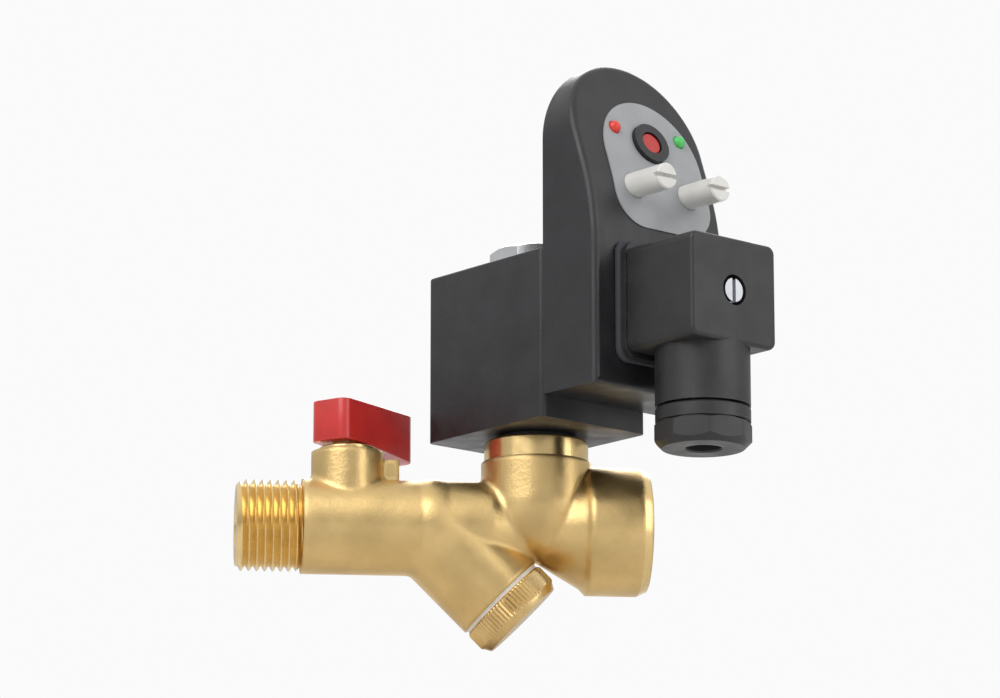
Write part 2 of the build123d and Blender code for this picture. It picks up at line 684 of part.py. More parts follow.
with BuildPart() as timer_cover:
    extrude(timer_outline(0, on_face(0)), amount=timer_depth)
    extrude(timer_side(0), amount=timer_width, both=True, mode=Mode.INTERSECT)
    back_edges = timer_cover.faces().sort_by(terminal_axis)[0].edges()
    side_edges = timer_cover.edges().filter_by(terminal_axis)
    fillet([edge for edge in timer_cover.edges() if edge not in back_edges and edge not in side_edges],
           timer_round)
    add(timer_room.part, mode=Mode.SUBTRACT)
    add(case_pillars.part)
    # Shallow bed of the panel plate, and the raised rim of the test button that stands through it.
    add(panel_bed.part, mode=Mode.SUBTRACT)
    stub(on_lean(button_height).offset(-timer_wall), rim_diameter, timer_wall + rim_height)
    stub(on_lean(button_height).offset(-2 * timer_wall), button_diameter + 2 * fit,
         2 * timer_wall + rim_height, Mode.SUBTRACT)
    # Holes for the lamps, the trimmer shafts, the plug's blades and its fixing screw.
    facing(lamp_places, board_front, lamp_diameter + 2 * seat_gap, timer_depth, Mode.SUBTRACT)
    facing(shaft_places, board_front, shaft_diameter + 2 * seat_gap, timer_depth, Mode.SUBTRACT)
    facing(screw_place, board_front, screw_thread + 2 * seat_gap, timer_depth, Mode.SUBTRACT)
    blades(board_front, timer_depth, 2 * seat_gap, Mode.SUBTRACT)

with BuildPart() as timer_panel:
    extrude(panel_outline(on_face(0)), amount=timer_depth + timer_wall)
    extrude(timer_side(panel_recess - panel_plate), amount=timer_width, both=True, mode=Mode.INTERSECT)
    extrude(timer_side(panel_recess), amount=timer_width, both=True, mode=Mode.SUBTRACT)
    stub(on_lean(button_height).offset(-timer_wall), rim_diameter + 2 * seat_gap, 2 * timer_wall, Mode.SUBTRACT)
    facing(lamp_places, board_front, lamp_diameter + 2 * seat_gap, timer_depth, Mode.SUBTRACT)
    facing(shaft_places, board_front, shaft_diameter + 2 * seat_gap, timer_depth, Mode.SUBTRACT)

with BuildPart() as timer_back_plate:
    extrude(timer_outline(timer_wall + seat_gap, on_face(0)), amount=timer_wall)
    facing(pillar_places, 0, case_screw_head + 2 * seat_gap, case_screw_head_height, Mode.SUBTRACT)
    facing(pillar_places, 0, case_screw_thread + 2 * seat_gap, timer_wall, Mode.SUBTRACT)
    facing(screw_place, 0, screw_thread + 2 * seat_gap, timer_wall, Mode.SUBTRACT)
    blades(0, timer_wall, 2 * seat_gap, Mode.SUBTRACT)
    with BuildSketch(on_face(timer_wall)) as board_pads:
        with Locations((timer_offset, (board_floor + board_top) / 2)):
            with GridLocations(board_width - 2 * pillar_diameter,
                               board_top - board_floor - pillar_diameter, 2, 2):
                Circle(pillar_diameter / 2)
    extrude(board_pads.sketch, amount=board_gap)

with BuildPart() as timer_case_screws:
    facing(pillar_places, 0, case_screw_head, case_screw_head_height)
    facing(pillar_places, case_screw_head_height, case_screw_thread - 2 * fit,
           timer_wall - case_screw_head_height + pilot_depth - seat_gap)

with BuildPart() as circuit_board:
    block(on_face(board_back), (timer_offset, (board_floor + board_top) / 2), board_width,
          board_top - board_floor, board_thickness, plug_corner)
    facing(screw_place, board_back, screw_thread + 2 * seat_gap, board_thickness, Mode.SUBTRACT)
    blades(board_back, board_thickness / 2, 2 * seat_gap, Mode.SUBTRACT)

with BuildPart() as timer_terminals:
    blades(board_front, plug_back + block_depth - board_front)


# ================================================================ timer controls
def make_lamp(place):
    """Small domed indicator lamp that stands on the board and reaches through the panel."""
    tip = front_depth(lamp_height) + panel_plate + lamp_proud
    with BuildPart() as lamp:
        facing((place,), board_front, lamp_diameter, tip - lamp_diameter / 2 - board_front)
        with Locations(on_face(tip - lamp_diameter / 2).from_local_coords((*place, 0))):
            Sphere(lamp_diameter / 2)
    return lamp


def make_trimmer(place):
    """Square body of a turning trimmer on the board, with its spindle hole."""
    with BuildPart() as trimmer:
        block(on_face(board_front), place, trimmer_side, trimmer_side, trimmer_height, edge_round)
        facing((place,), board_front + edge_round, spindle_diameter + 2 * fit, trimmer_height, Mode.SUBTRACT)
    return trimmer


def make_shaft(place):
    """Slotted setting shaft with a thinner spindle that turns in its trimmer."""
    shaft_floor = trimmer_front + free_gap
    with BuildPart() as shaft:
        facing((place,), shaft_floor, shaft_diameter, shaft_tip - shaft_floor)
        chamfer(shaft.faces().sort_by(terminal_axis)[-1].edges(),
                edge_round / 2)
        facing((place,), board_front + 2 * edge_round, spindle_diameter, shaft_floor - board_front - edge_round)
        block(on_face(shaft_tip - shaft_slot_depth), place, shaft_diameter, shaft_slot, shaft_slot_depth,
              mode=Mode.SUBTRACT)
    return shaft


power_lamp = make_lamp(lamp_places[0])
drain_lamp = make_lamp(lamp_places[1])
interval_trimmer = make_trimmer(shaft_places[0])
discharge_trimmer = make_trimmer(shaft_places[1])
interval_shaft = make_shaft(shaft_places[0])
discharge_shaft = make_shaft(shaft_places[1])

with BuildPart() as test_button:
    flange_top = -timer_wall - 2 * seat_gap
    stub(on_lean(button_height).offset(flange_top - button_flange_height), button_flange, button_flange_height)
    stub(on_lean(button_height).offset(flange_top), button_diameter, button_proud - flange_top)
    chamfer(test_button.edges().sort_by(terminal_axis)[-1],
            edge_round / 2)

with BuildPart() as test_switch:
    switch_drop = (front_depth(button_height) - board_front - switch_height) * math.tan(bend_angle)
    block(on_face(board_front), (panel_middle, button_height - switch_drop), switch_side, switch_side,
          switch_height, edge_round)

# ================================================================ cable plug
cavity_width = plug_width - 2 * plug_wall
cavity_tall = plug_tall - 2 * plug_wall
plug_middle = (timer_offset, plug_height)

with BuildPart() as plug_gasket:
    block(on_face(timer_depth), plug_middle, plug_gasket_side, plug_gasket_side, plug_gasket_height,
          plug_corner)
    block(on_face(timer_depth), plug_middle, cavity_width, cavity_tall, plug_gasket_height, mode=Mode.SUBTRACT)

with BuildPart() as plug_shell:
    block(on_face(plug_back), plug_middle, plug_base_side, plug_base_side, plug_base_height, plug_corner)
    block(on_face(plug_back), plug_middle, plug_width, plug_tall, plug_front - plug_back, plug_wall)
    front = plug_shell.faces().sort_by(terminal_axis)[-1]
    fillet(front.edges(), plug_edge)
    cavity_floor = plug_height - cavity_tall / 2
    stub(over_gland(neck_floor), neck_outer, cavity_floor - neck_floor)
    stub(over_gland(neck_thread_floor), neck_thread, neck_floor - neck_thread_floor)
    cavity_depth = plug_front - plug_back - plug_front_wall
    block(on_face(plug_back), plug_middle, cavity_width, cavity_tall, cavity_depth, mode=Mode.SUBTRACT)
    stub(over_gland(neck_thread_floor), neck_bore, cavity_floor - neck_thread_floor, Mode.SUBTRACT)
    facing(screw_place, plug_back, screw_tube, cavity_depth)
    facing(screw_place, plug_back, screw_thread + 4 * seat_gap, plug_front - plug_back, Mode.SUBTRACT)
    facing(screw_place, plug_front - screw_recess_depth, screw_recess, screw_recess_depth, Mode.SUBTRACT)

with BuildPart() as terminal_block:
    block(on_face(plug_back), plug_middle, cavity_width - 2 * seat_gap, cavity_tall - 2 * seat_gap, block_depth)
    facing(screw_place, plug_back, screw_tube + 2 * seat_gap, block_depth, Mode.SUBTRACT)
    blades(plug_back, block_depth, 2 * seat_gap, Mode.SUBTRACT)

with BuildPart() as plug_screw_seal:
    facing(screw_place, plug_front - screw_recess_depth, screw_head, screw_seal_height)
    facing(screw_place, plug_front - screw_recess_depth, screw_thread + 2 * fit, screw_seal_height,
           Mode.SUBTRACT)

with BuildPart() as plug_screw:
    head_floor = plug_front - screw_recess_depth + screw_seal_height
    facing(screw_place, head_floor, screw_head, screw_head_height)
    facing(screw_place, -screw_bite, screw_thread, head_floor + screw_bite)
    block(on_face(head_floor + screw_head_height - shaft_slot), plug_middle, shaft_slot, screw_head, shaft_slot,
          mode=Mode.SUBTRACT)

with BuildPart() as gland_grommet:
    stub(over_gland(neck_thread_floor), neck_bore - 2 * seat_gap, grommet_top - neck_thread_floor)
    stub(over_gland(neck_thread_floor), cable_bore, grommet_top - neck_thread_floor, Mode.SUBTRACT)

with BuildPart() as gland_washer:
    stub(over_gland(neck_thread_floor - gland_washer_height), neck_thread - 2 * seat_gap, gland_washer_height)
    stub(over_gland(neck_thread_floor - gland_washer_height), cable_bore, gland_washer_height, Mode.SUBTRACT)

with BuildPart() as gland_nut:
    gland_nut_floor = neck_thread_floor - gland_washer_height - gland_nut_wall
    with BuildSketch(over_gland(gland_nut_floor)):
        RegularPolygon(gland_nut_flats / 2, gland_nut_sides, major_radius=False, rotation=gland_nut_turn)
    extrude(amount=gland_nut_top - gland_ring_height - gland_nut_floor)
    chamfer(gland_nut.faces().sort_by(Axis.Z)[0].edges(), gland_nut_chamfer)
    stub(over_gland(gland_nut_top - gland_ring_height), neck_outer, gland_ring_height)
    stub(over_gland(gland_nut_floor), cable_bore, gland_nut_top - gland_nut_floor, Mode.SUBTRACT)
    stub(over_gland(gland_nut_floor + gland_nut_wall), neck_thread + 2 * seat_gap, gland_nut_top, Mode.SUBTRACT)

# ================================================================ files
pieces = {
    "valve_body": valve_body, "inlet_nipple": inlet_nipple, "ball": ball,
    "inlet_ball_seat": inlet_ball_seat, "outlet_ball_seat": outlet_ball_seat, "valve_stem": valve_stem,
    "stem_packing": stem_packing, "stem_gland_nut": stem_gland_nut, "lever": lever,
    "lever_screw": lever_screw, "strainer_screen": strainer_screen, "strainer_gasket": strainer_gasket,
    "strainer_cap": strainer_cap, "bonnet_seal": bonnet_seal, "armature_tube": armature_tube,
    "bonnet_collar": bonnet_collar, "fixed_core": fixed_core, "shading_ring": shading_ring,
    "plunger": plunger, "plunger_seal": plunger_seal, "plunger_spring": plunger_spring,
    "coil_seal": coil_seal, "coil_case": coil_case, "coil_yoke": coil_yoke, "coil_bobbin": coil_bobbin,
    "coil_winding": coil_winding, "coil_terminals": coil_terminals, "coil_washer": coil_washer,
    "coil_nut": coil_nut, "timer_cover": timer_cover, "timer_panel": timer_panel,
    "timer_back_plate": timer_back_plate, "timer_case_screws": timer_case_screws,
    "circuit_board": circuit_board, "timer_terminals": timer_terminals, "power_lamp": power_lamp,
    "drain_lamp": drain_lamp, "interval_trimmer": interval_trimmer,
    "discharge_trimmer": discharge_trimmer, "interval_shaft": interval_shaft,
    "discharge_shaft": discharge_shaft, "test_button": test_button, "test_switch": test_switch,
    "plug_gasket": plug_gasket, "plug_shell": plug_shell, "terminal_block": terminal_block,
    "plug_screw_seal": plug_screw_seal, "plug_screw": plug_screw, "gland_grommet": gland_grommet,
    "gland_washer": gland_washer, "gland_nut": gland_nut,
}
os.makedirs("parts", exist_ok=True)
for name, piece in pieces.items():
    piece.part.label = name
    export_step(piece.part, f"parts/{name}.step")
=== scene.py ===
"""Looks of the timed drain valve: finishes, screw threads, knurling, broken edges, light and camera.

Lengths in the classes are millimetres and become metres where a mesh is made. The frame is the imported
model's: the pipe runs along +X from the middle of the inlet's end face, and +Z is up.
"""

import logging
import math
from dataclasses import dataclass
from enum import Enum
from typing import Iterable, Mapping, Optional, Sequence, Union

import bmesh
import bpy
from mathutils import Matrix, Vector


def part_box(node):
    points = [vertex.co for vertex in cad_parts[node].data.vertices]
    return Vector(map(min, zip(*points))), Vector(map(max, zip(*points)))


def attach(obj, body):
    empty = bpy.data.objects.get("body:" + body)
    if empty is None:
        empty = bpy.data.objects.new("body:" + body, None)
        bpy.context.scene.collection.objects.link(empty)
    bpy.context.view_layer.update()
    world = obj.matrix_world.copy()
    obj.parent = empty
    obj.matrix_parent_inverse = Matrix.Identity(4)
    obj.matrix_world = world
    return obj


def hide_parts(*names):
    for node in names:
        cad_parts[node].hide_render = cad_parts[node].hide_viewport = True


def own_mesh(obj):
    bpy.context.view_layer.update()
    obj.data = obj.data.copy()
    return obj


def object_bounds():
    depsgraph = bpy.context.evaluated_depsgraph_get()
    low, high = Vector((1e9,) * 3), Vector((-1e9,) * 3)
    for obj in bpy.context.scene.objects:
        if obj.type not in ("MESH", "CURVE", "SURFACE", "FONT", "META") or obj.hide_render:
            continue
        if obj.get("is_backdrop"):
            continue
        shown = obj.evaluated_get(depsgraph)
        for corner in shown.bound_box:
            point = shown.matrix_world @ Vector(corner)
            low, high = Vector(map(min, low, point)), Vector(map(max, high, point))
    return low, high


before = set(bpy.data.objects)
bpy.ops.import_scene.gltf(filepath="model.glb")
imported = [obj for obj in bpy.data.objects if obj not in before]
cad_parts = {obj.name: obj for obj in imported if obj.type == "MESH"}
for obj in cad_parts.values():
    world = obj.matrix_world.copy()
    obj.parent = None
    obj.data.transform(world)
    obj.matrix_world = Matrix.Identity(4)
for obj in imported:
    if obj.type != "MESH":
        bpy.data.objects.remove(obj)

MM = 0.001
Colour = tuple[float, float, float]
Triple = tuple[float, float, float]
Ring = Union[tuple[float, float], tuple[float, float, "Section"]]
Feed = Union["Socket", bpy.types.NodeSocket, float, int, bool, Sequence[float]]
log = logging.getLogger("drain_valve")

# Axes and directions of the valve, in millimetres.
STEM_AXIS: Triple = (25.5, 0.0, 0.0)
LEG_AXIS: Triple = (45.0, 0.0, 0.0)
COIL_AXIS: Triple = (69.0, 0.0, 0.0)
COIL_HALF_DEPTH = 20.2
ALONG: Triple = (1.0, 0.0, 0.0)
ACROSS: Triple = (0.0, 1.0, 0.0)
UP: Triple = (0.0, 0.0, 1.0)
LEG_WAY: Triple = (0.70711, 0.0, -0.70711)
TERMINAL_WAY: Triple = (0.56641, -0.82413, 0.0)
WIDTH_WAY: Triple = (0.82413, 0.56641, 0.0)

# Half width of a cross recess's arms as a share of their length, and the narrowing towards its floor.
CROSS_ARM = 0.27
CROSS_TAPER = 0.55
# Keep whole numbers that come out a hair low from being rounded down.
NUDGE = 0.001
ROW_NUDGE = 0.01
BRASS: Colour = (0.78, 0.57, 0.26)


# ---------------------------------------------------------------- node trees
class Socket:
    """An output socket whose arithmetic adds the nodes that work it out."""

    def __init__(self, graph: "Graph", source: bpy.types.NodeSocket) -> None:
        """Wraps a node's output.

        Args:
            graph: The tree that the socket belongs to.
            source: The output socket.
        """
        self.graph = graph
        self.source = source

    @property
    def is_vector(self) -> bool:
        """Whether the socket carries a vector."""
        return self.source.type == "VECTOR"

    def _join(self, operation: str, first: Feed, second: Feed) -> "Socket":
        """Adds a Math or Vector Math node for two operands."""
        return self.graph.maths(operation, first, second, vector=self.is_vector)

    def __add__(self, other: Feed) -> "Socket":
        """Sum."""
        return self._join("ADD", self, other)

    def __sub__(self, other: Feed) -> "Socket":
        """Difference."""
        return self._join("SUBTRACT", self, other)

    def __rsub__(self, other: Feed) -> "Socket":
        """Difference from a plain number."""
        return self._join("SUBTRACT", other, self)

    def __mul__(self, other: Feed) -> "Socket":
        """Product, by parts for a vector."""
        return self._join("MULTIPLY", self, other)

    def __truediv__(self, other: Feed) -> "Socket":
        """Quotient."""
        return self._join("DIVIDE", self, other)

    def one(self, operation: str) -> "Socket":
        """Result of a Math operation that takes this value alone."""
        return self.graph.maths(operation, self)

    def least(self, other: Feed) -> "Socket":
        """The smaller of two values."""
        return self.graph.maths("MINIMUM", self, other)

    def most(self, other: Feed) -> "Socket":
        """The larger of two values."""
        return self.graph.maths("MAXIMUM", self, other)

    def wave(self) -> "Socket":
        """Triangle wave, 0 at whole numbers and 1 halfway between them."""
        return 1.0 - ((self + NUDGE).one("FRACT") * 2.0 - 1.0).one("ABSOLUTE")

    def ramp(self, low: float, high: float, start: float = 0.0, end: float = 1.0) -> "Socket":
        """Smooth step of the value.

        Args:
            low: Value where the step begins.
            high: Value where the step ends.
            start: Result at and before the beginning.
            end: Result at and after the end.

        Returns:
            The stepped value.
        """
        ends = {"Value": self, "From Min": low, "From Max": high, "To Min": start, "To Max": end}
        return self.graph.result("ShaderNodeMapRange", ends, "Result", interpolation_type="SMOOTHSTEP")


class Graph:
    """A shader or geometry node tree, with one method that makes every node."""

    def __init__(self, tree: bpy.types.NodeTree) -> None:
        """Takes a tree to add nodes to."""
        self.tree = tree

    @classmethod
    def fresh(cls, owner: Union[bpy.types.Material, bpy.types.World]) -> "Graph":
        """Empties the tree of a material or a world.

        Args:
            owner: The material or world.

        Returns:
            Its tree, without nodes.
        """
        owner.use_nodes = True
        owner.node_tree.nodes.clear()
        return cls(owner.node_tree)

    def node(self, kind: str, inputs: Optional[Mapping] = None, **settings: object) -> bpy.types.Node:
        """Makes a node.

        Args:
            kind: The node's type name.
            inputs: Values or links of its sockets, by identifier, name or index.
            settings: Its properties, set first.

        Returns:
            The new node.
        """
        made = self.tree.nodes.new(kind)
        for key, value in settings.items():
            setattr(made, key, value)
        for key, value in (inputs or {}).items():
            self._feed(self._find(made.inputs, key), value)
        return made

    @staticmethod
    def _find(sockets: Iterable[bpy.types.NodeSocket], key: Union[str, int]) -> bpy.types.NodeSocket:
        """Finds a socket.

        Args:
            sockets: Where to look.
            key: Its index, identifier or name.

        Returns:
            The socket.
        """
        listed = list(sockets)
        if isinstance(key, int):
            return listed[key]
        for socket in listed:
            if socket.identifier == key:
                return socket
        return next(socket for socket in listed if socket.name == key and socket.enabled)

    def _feed(self, target: bpy.types.NodeSocket, value: Feed) -> None:
        """Links a socket or sets its value.

        Args:
            target: The input.
            value: Its link or value; three parts are a colour, and one number fills a vector.
        """
        if isinstance(value, Socket):
            value = value.source
        if isinstance(value, bpy.types.NodeSocket):
            self.tree.links.new(value, target)
        elif target.type == "RGBA" and len(value) == 3:
            target.default_value = (*value, 1.0)
        elif target.type == "VECTOR" and isinstance(value, (int, float)):
            target.default_value = (value, value, value)
        else:
            target.default_value = value

    def out(self, node: bpy.types.Node, key: Union[str, int] = 0) -> Socket:
        """Wraps one of a node's outputs."""
        return Socket(self, self._find(node.outputs, key))

    def result(
        self, kind: str, inputs: Optional[Mapping] = None, key: Union[str, int] = 0, **settings: object
    ) -> Socket:
        """Makes a node and wraps the output that key names."""
        return self.out(self.node(kind, inputs, **settings), key)

    def maths(self, operation: str, first: Feed, second: Feed = 0.0, vector: bool = False) -> Socket:
        """Adds a Math node, or a Vector Math node, and wraps its result.

        Args:
            operation: The node's operation.
            first: First operand.
            second: Second operand, where it has one.
            vector: Whether the operands are vectors.

        Returns:
            The result.
        """
        kind = "ShaderNodeVectorMath" if vector else "ShaderNodeMath"
        key = "Value" if operation in ("LENGTH", "DOT_PRODUCT") or not vector else "Vector"
        return self.result(kind, {0: first, 1: second}, key, operation=operation)

    def mix(self, factor: Feed, first: Feed, second: Feed) -> Socket:
        """Mixes two colours."""
        sides = {"Factor_Float": factor, "A_Color": first, "B_Color": second}
        return self.result("ShaderNodeMix", sides, "Result_Color", data_type="RGBA")

    def place(self, stretch: Feed = (1.0, 1.0, 1.0)) -> Socket:
        """Object coordinates, stretched by parts, in metres."""
        return self.result("ShaderNodeTexCoord", key="Object") * stretch

    def noise(self, vector: Feed, size: float, detail: float = 2.0, roughness: float = 0.5) -> Socket:
        """Noise value.

        Args:
            vector: Where it is read, in metres.
            size: Rough size of its lumps, in millimetres.
            detail: Octaves.
            roughness: Share of each finer octave.

        Returns:
            The noise, about 0 to 1.
        """
        values = {"Vector": vector, "Scale": 1 / (size * MM), "Detail": detail, "Roughness": roughness}
        return self.result("ShaderNodeTexNoise", values)

    def cells(self, vector: Feed, size: float, feature: str = "F1") -> Socket:
        """Distance inside cells of about a size in millimetres."""
        values = {"Vector": vector, "Scale": 1 / (size * MM)}
        return self.result("ShaderNodeTexVoronoi", values, "Distance", feature=feature)

    def rounded(self, width: float) -> Socket:
        """Normal rounded across edges over a width in millimetres."""
        return self.result("ShaderNodeBevel", {"Radius": width * MM}, samples=6)

    def split(self, vector: Feed) -> list[Socket]:
        """Parts of a vector."""
        made = self.node("ShaderNodeSeparateXYZ", {0: vector})
        return [self.out(made, index) for index in range(3)]

    def join(self, x: Feed, y: Feed, z: Feed) -> Socket:
        """Vector made of its parts."""
        return self.result("ShaderNodeCombineXYZ", {0: x, 1: y, 2: z})

    def pick(self, row: Socket, values: Sequence[Feed]) -> Socket:
        """One of several values, chosen by a whole number.

        Args:
            row: The number.
            values: The values for 0, 1 and so on.

        Returns:
            The chosen value.
        """
        total: Optional[Socket] = None
        for index, value in enumerate(values):
            chosen = self.maths("COMPARE", row, float(index)) * value
            total = chosen if total is None else total + chosen
        return total

    def bump(self, height: Feed, depth: float, below: Optional[Socket] = None) -> Socket:
        """Bump from a height.

        Args:
            height: The height, about 0 to 1.
            depth: How deep that range is, in millimetres.
            below: A coarser bump that it lies on.

        Returns:
            The bent normal.
        """
        inputs: dict[str, Feed] = {"Height": height, "Distance": depth * MM, "Strength": 1.0}
        if below is not None:
            inputs["Normal"] = below
        return self.result("ShaderNodeBump", inputs)


# ---------------------------------------------------------------- finishes
@dataclass(frozen=True)
class Finish:
    """A finish, which is one material on every piece that takes it."""

    name: str
    slot: str
    colour: Colour
    roughness: float = 0.5

    def material(self) -> bpy.types.Material:
        """Makes the material the first time, and finds it afterwards.

        Returns:
            The material.
        """
        found = bpy.data.materials.get(self.name)
        if found is not None:
            return found
        made = bpy.data.materials.new(self.name)
        made.diffuse_color = (*self.colour, 1.0)
        graph = Graph.fresh(made)
        shader = graph.result("ShaderNodeBsdfPrincipled", self.sockets(graph))
        graph.node("ShaderNodeOutputMaterial", {"Surface": shader})
        return made

    def sockets(self, graph: Graph) -> dict[str, Feed]:
        """Values and links of the shader's sockets."""
        return {"Base Color": self.colour, "Roughness": self.roughness}

    def toned(self, share: float, lift: float = 0.0) -> Colour:
        """The colour times a share, plus a little."""
        return tuple(min(1.0, part * share + lift) for part in self.colour)

    def shades(self, graph: Graph, size: float, spread: float) -> Socket:
        """Colour that drifts lighter and darker over the surface.

        Args:
            graph: The material's tree.
            size: Size of the patches, in millimetres.
            spread: How far they go from the plain colour, as a share of it.

        Returns:
            The colour.
        """
        where = graph.noise(graph.place(), size, 3.0).ramp(0.3, 0.7)
        return graph.mix(where, self.toned(1 - spread), self.toned(1 + spread))

    def patches(self, graph: Graph, size: float, spread: float) -> Socket:
        """Roughness that drifts over the surface.

        Args:
            graph: The material's tree.
            size: Size of the patches, in millimetres.
            spread: How far they go from the plain roughness.

        Returns:
            The roughness.
        """
        low, high = self.roughness - spread, self.roughness + spread
        return graph.noise(graph.place((1.0, 1.3, 0.8)), size, 4.0).ramp(0.3, 0.7, low, high)

    def rubbed_edges_and_highlight(self, graph: Graph, width: float) -> Socket:
        """Mask of edges rubbed by handling and painted lighter as a painted edge highlight, which comes and goes
        along them.

        Args:
            graph: The material's tree.
            width: How far the rubbing and the painted highlight reach from an edge, in millimetres.

        Returns:
            1 where the surface is rubbed and painted lighter, and 0 where it is untouched.
        """
        rounded, plain = graph.rounded(width), graph.result("ShaderNodeNewGeometry", key="Normal")
        turn = 1 - graph.maths("DOT_PRODUCT", rounded, plain, vector=True)
        return turn.ramp(0.01, 0.14) * graph.noise(graph.place(), 2.2, 3.0).ramp(0.42, 0.62)


@dataclass(frozen=True)
class ForgedBrass(Finish):
    """Hot-forged and shot-blasted brass, with a dimpled grain, and bright turned faces at its ends.

    The faces begin at a distance along the pipe, along the leg, or up. The neck's begins behind neck_start.
    """

    grain: float = 0.45
    grain_depth: float = 0.045
    dimple: float = 0.765
    wave: float = 6.0
    wave_depth: float = 0.10
    bright: Colour = BRASS
    outlet_face: float = 92.3
    leg_face: float = 22.1
    boss_face: float = 17.1
    neck_face: float = 15.4
    neck_start: float = 50.0
    fade: float = 0.05
    crease: float = 1.6

    def turned_faces(self, graph: Graph, place: Socket) -> Socket:
        """Mask of the faces that are turned after forging.

        Args:
            graph: The material's tree.
            place: Object coordinates.

        Returns:
            1 on a turned face and 0 on the forged skin.
        """
        parts = graph.split(place * (1 / MM))
        along_leg = (parts[0] - LEG_AXIS[0]) * LEG_WAY[0] + parts[2] * LEG_WAY[2]
        facing = graph.result("ShaderNodeNewGeometry", key="True Normal")
        down_leg = graph.maths("DOT_PRODUCT", facing, LEG_WAY, vector=True)
        mouth = parts[0].ramp(self.outlet_face, self.outlet_face + 2 * self.fade)
        leg = along_leg.ramp(self.leg_face, self.leg_face + self.fade) * down_leg.ramp(0.9, 0.95)
        boss = parts[2].ramp(self.boss_face, self.boss_face + self.fade)
        behind = parts[0].ramp(self.neck_start, self.neck_start + 1.0)
        neck = parts[2].ramp(self.neck_face, self.neck_face + self.fade) * behind
        return mouth.most(leg).most(boss).most(neck)

    def sockets(self, graph: Graph) -> dict[str, Feed]:
        """Values and links of the shader's sockets.

        Args:
            graph: The material's tree.

        Returns:
            The values and links, by socket name.
        """
        place = graph.place()
        mask = self.turned_faces(graph, place)
        grain = graph.noise(place, self.grain) * 0.6 + graph.cells(place, self.dimple) * 0.4
        rings = graph.noise(graph.place((1.0, 0.03, 0.03)), 0.3)
        waves = graph.bump(graph.noise(place, self.wave), self.wave_depth, graph.rounded(self.crease))
        height = grain * (1 - mask) + rings * mask * 0.12
        return {
            "Base Color": graph.mix(mask, self.shades(graph, 9.0, 0.08), self.bright),
            "Metallic": 1.0,
            "Roughness": self.patches(graph, 5.0, 0.05) * (1 - mask * 0.4),
            "Normal": graph.bump(height, self.grain_depth, waves),
        }


@dataclass(frozen=True)
class TurnedMetal(Finish):
    """Metal turned on a lathe, with fine rings round its axis."""

    at: Triple = (0.0, 0.0, 0.0)
    way: Triple = (1.0, 0.0, 0.0)
    ring: float = 0.22
    ring_depth: float = 0.004

    def sockets(self, graph: Graph) -> dict[str, Feed]:
        """Values and links of the shader's sockets.

        Args:
            graph: The material's tree.

        Returns:
            The values and links, by socket name.
        """
        from_axis = graph.place() - tuple(part * MM for part in self.at)
        across = graph.maths("CROSS_PRODUCT", from_axis, self.way, vector=True)
        radius = graph.maths("LENGTH", across, vector=True)
        along = graph.maths("DOT_PRODUCT", from_axis, self.way, vector=True)
        rings = graph.noise(graph.join(radius, along, 0.0), self.ring, 3.0, 0.6)
        return {
            "Base Color": self.shades(graph, 4.0, 0.05),
            "Metallic": 1.0,
            "Roughness": self.patches(graph, 3.0, 0.04) + (rings - 0.5) * 0.1,
            "Normal": graph.bump(rings, self.ring_depth),
        }


@dataclass(frozen=True)
class BrushedMetal(Finish):
    """Rolled or ground metal, with fine lines along one direction."""

    way: Triple = (0.04, 1.0, 1.0)
    line: float = 0.15
    line_depth: float = 0.004

    def sockets(self, graph: Graph) -> dict[str, Feed]:
        """Values and links of the shader's sockets.

        Args:
            graph: The material's tree.

        Returns:
            The values and links, by socket name.
        """
        lines = graph.noise(graph.place(self.way), self.line, 3.0, 0.6)
        return {
            "Base Color": self.shades(graph, 5.0, 0.05),
            "Metallic": 1.0,
            "Roughness": self.patches(graph, 4.0, 0.05),
            "Normal": graph.bump(lines, self.line_depth),
        }


@dataclass(frozen=True)
class Moulding(Finish):
    """Moulded plastic or rubber, with a spark-eroded grain."""

    grain: float = 0.25
    grain_depth: float = 0.012
    spread: float = 0.12
    coat: float = 0.0
    # Strength of the lighter edges: partly rubbed wear, partly a painted edge highlight.
    edge_rub_and_highlight: float = 0.0

    def sockets(self, graph: Graph) -> dict[str, Feed]:
        """Values and links of the shader's sockets.

        Args:
            graph: The material's tree.

        Returns:
            The values and links, by socket name.
        """
        place = graph.place()
        sink = graph.bump(graph.noise(place, 14.0, 1.0), 0.05)
        colour, rough = self.shades(graph, 7.0, self.spread), self.patches(graph, 6.0, 0.06)
        if self.edge_rub_and_highlight:
            # Edges are painted lighter here: partly rubbed wear, partly a painted edge highlight.
            edges = self.rubbed_edges_and_highlight(graph, 0.5) * self.edge_rub_and_highlight
            colour = graph.mix(edges, colour, self.toned(1.6, 0.05))
            rough = rough * (1 - edges * 0.35)
        return {
            "Base Color": colour,
            "Roughness": rough,
            "Coat Weight": self.coat,
            "Coat Roughness": 0.2,
            "Normal": graph.bump(graph.noise(place, self.grain, 3.0, 0.65), self.grain_depth, sink),
        }


@dataclass(frozen=True)
class Lens(Finish):
    """Tinted indicator lamp with a faint glow from inside."""

    glow: float = 0.6

    def sockets(self, graph: Graph) -> dict[str, Feed]:
        """Values and links of the shader's sockets.

        Args:
            graph: The material's tree.

        Returns:
            The values and links, by socket name.
        """
        flecks = graph.noise(graph.place(), 0.5, 2.0)
        return {
            "Base Color": self.shades(graph, 1.2, 0.15),
            "Roughness": flecks.ramp(0.3, 0.7, self.roughness - 0.04, self.roughness + 0.06),
            "Transmission Weight": 0.35,
            "IOR": 1.49,
            "Coat Weight": 0.5,
            "Emission Color": self.colour,
            "Emission Strength": self.glow,
            "Normal": graph.bump(flecks, 0.01),
        }


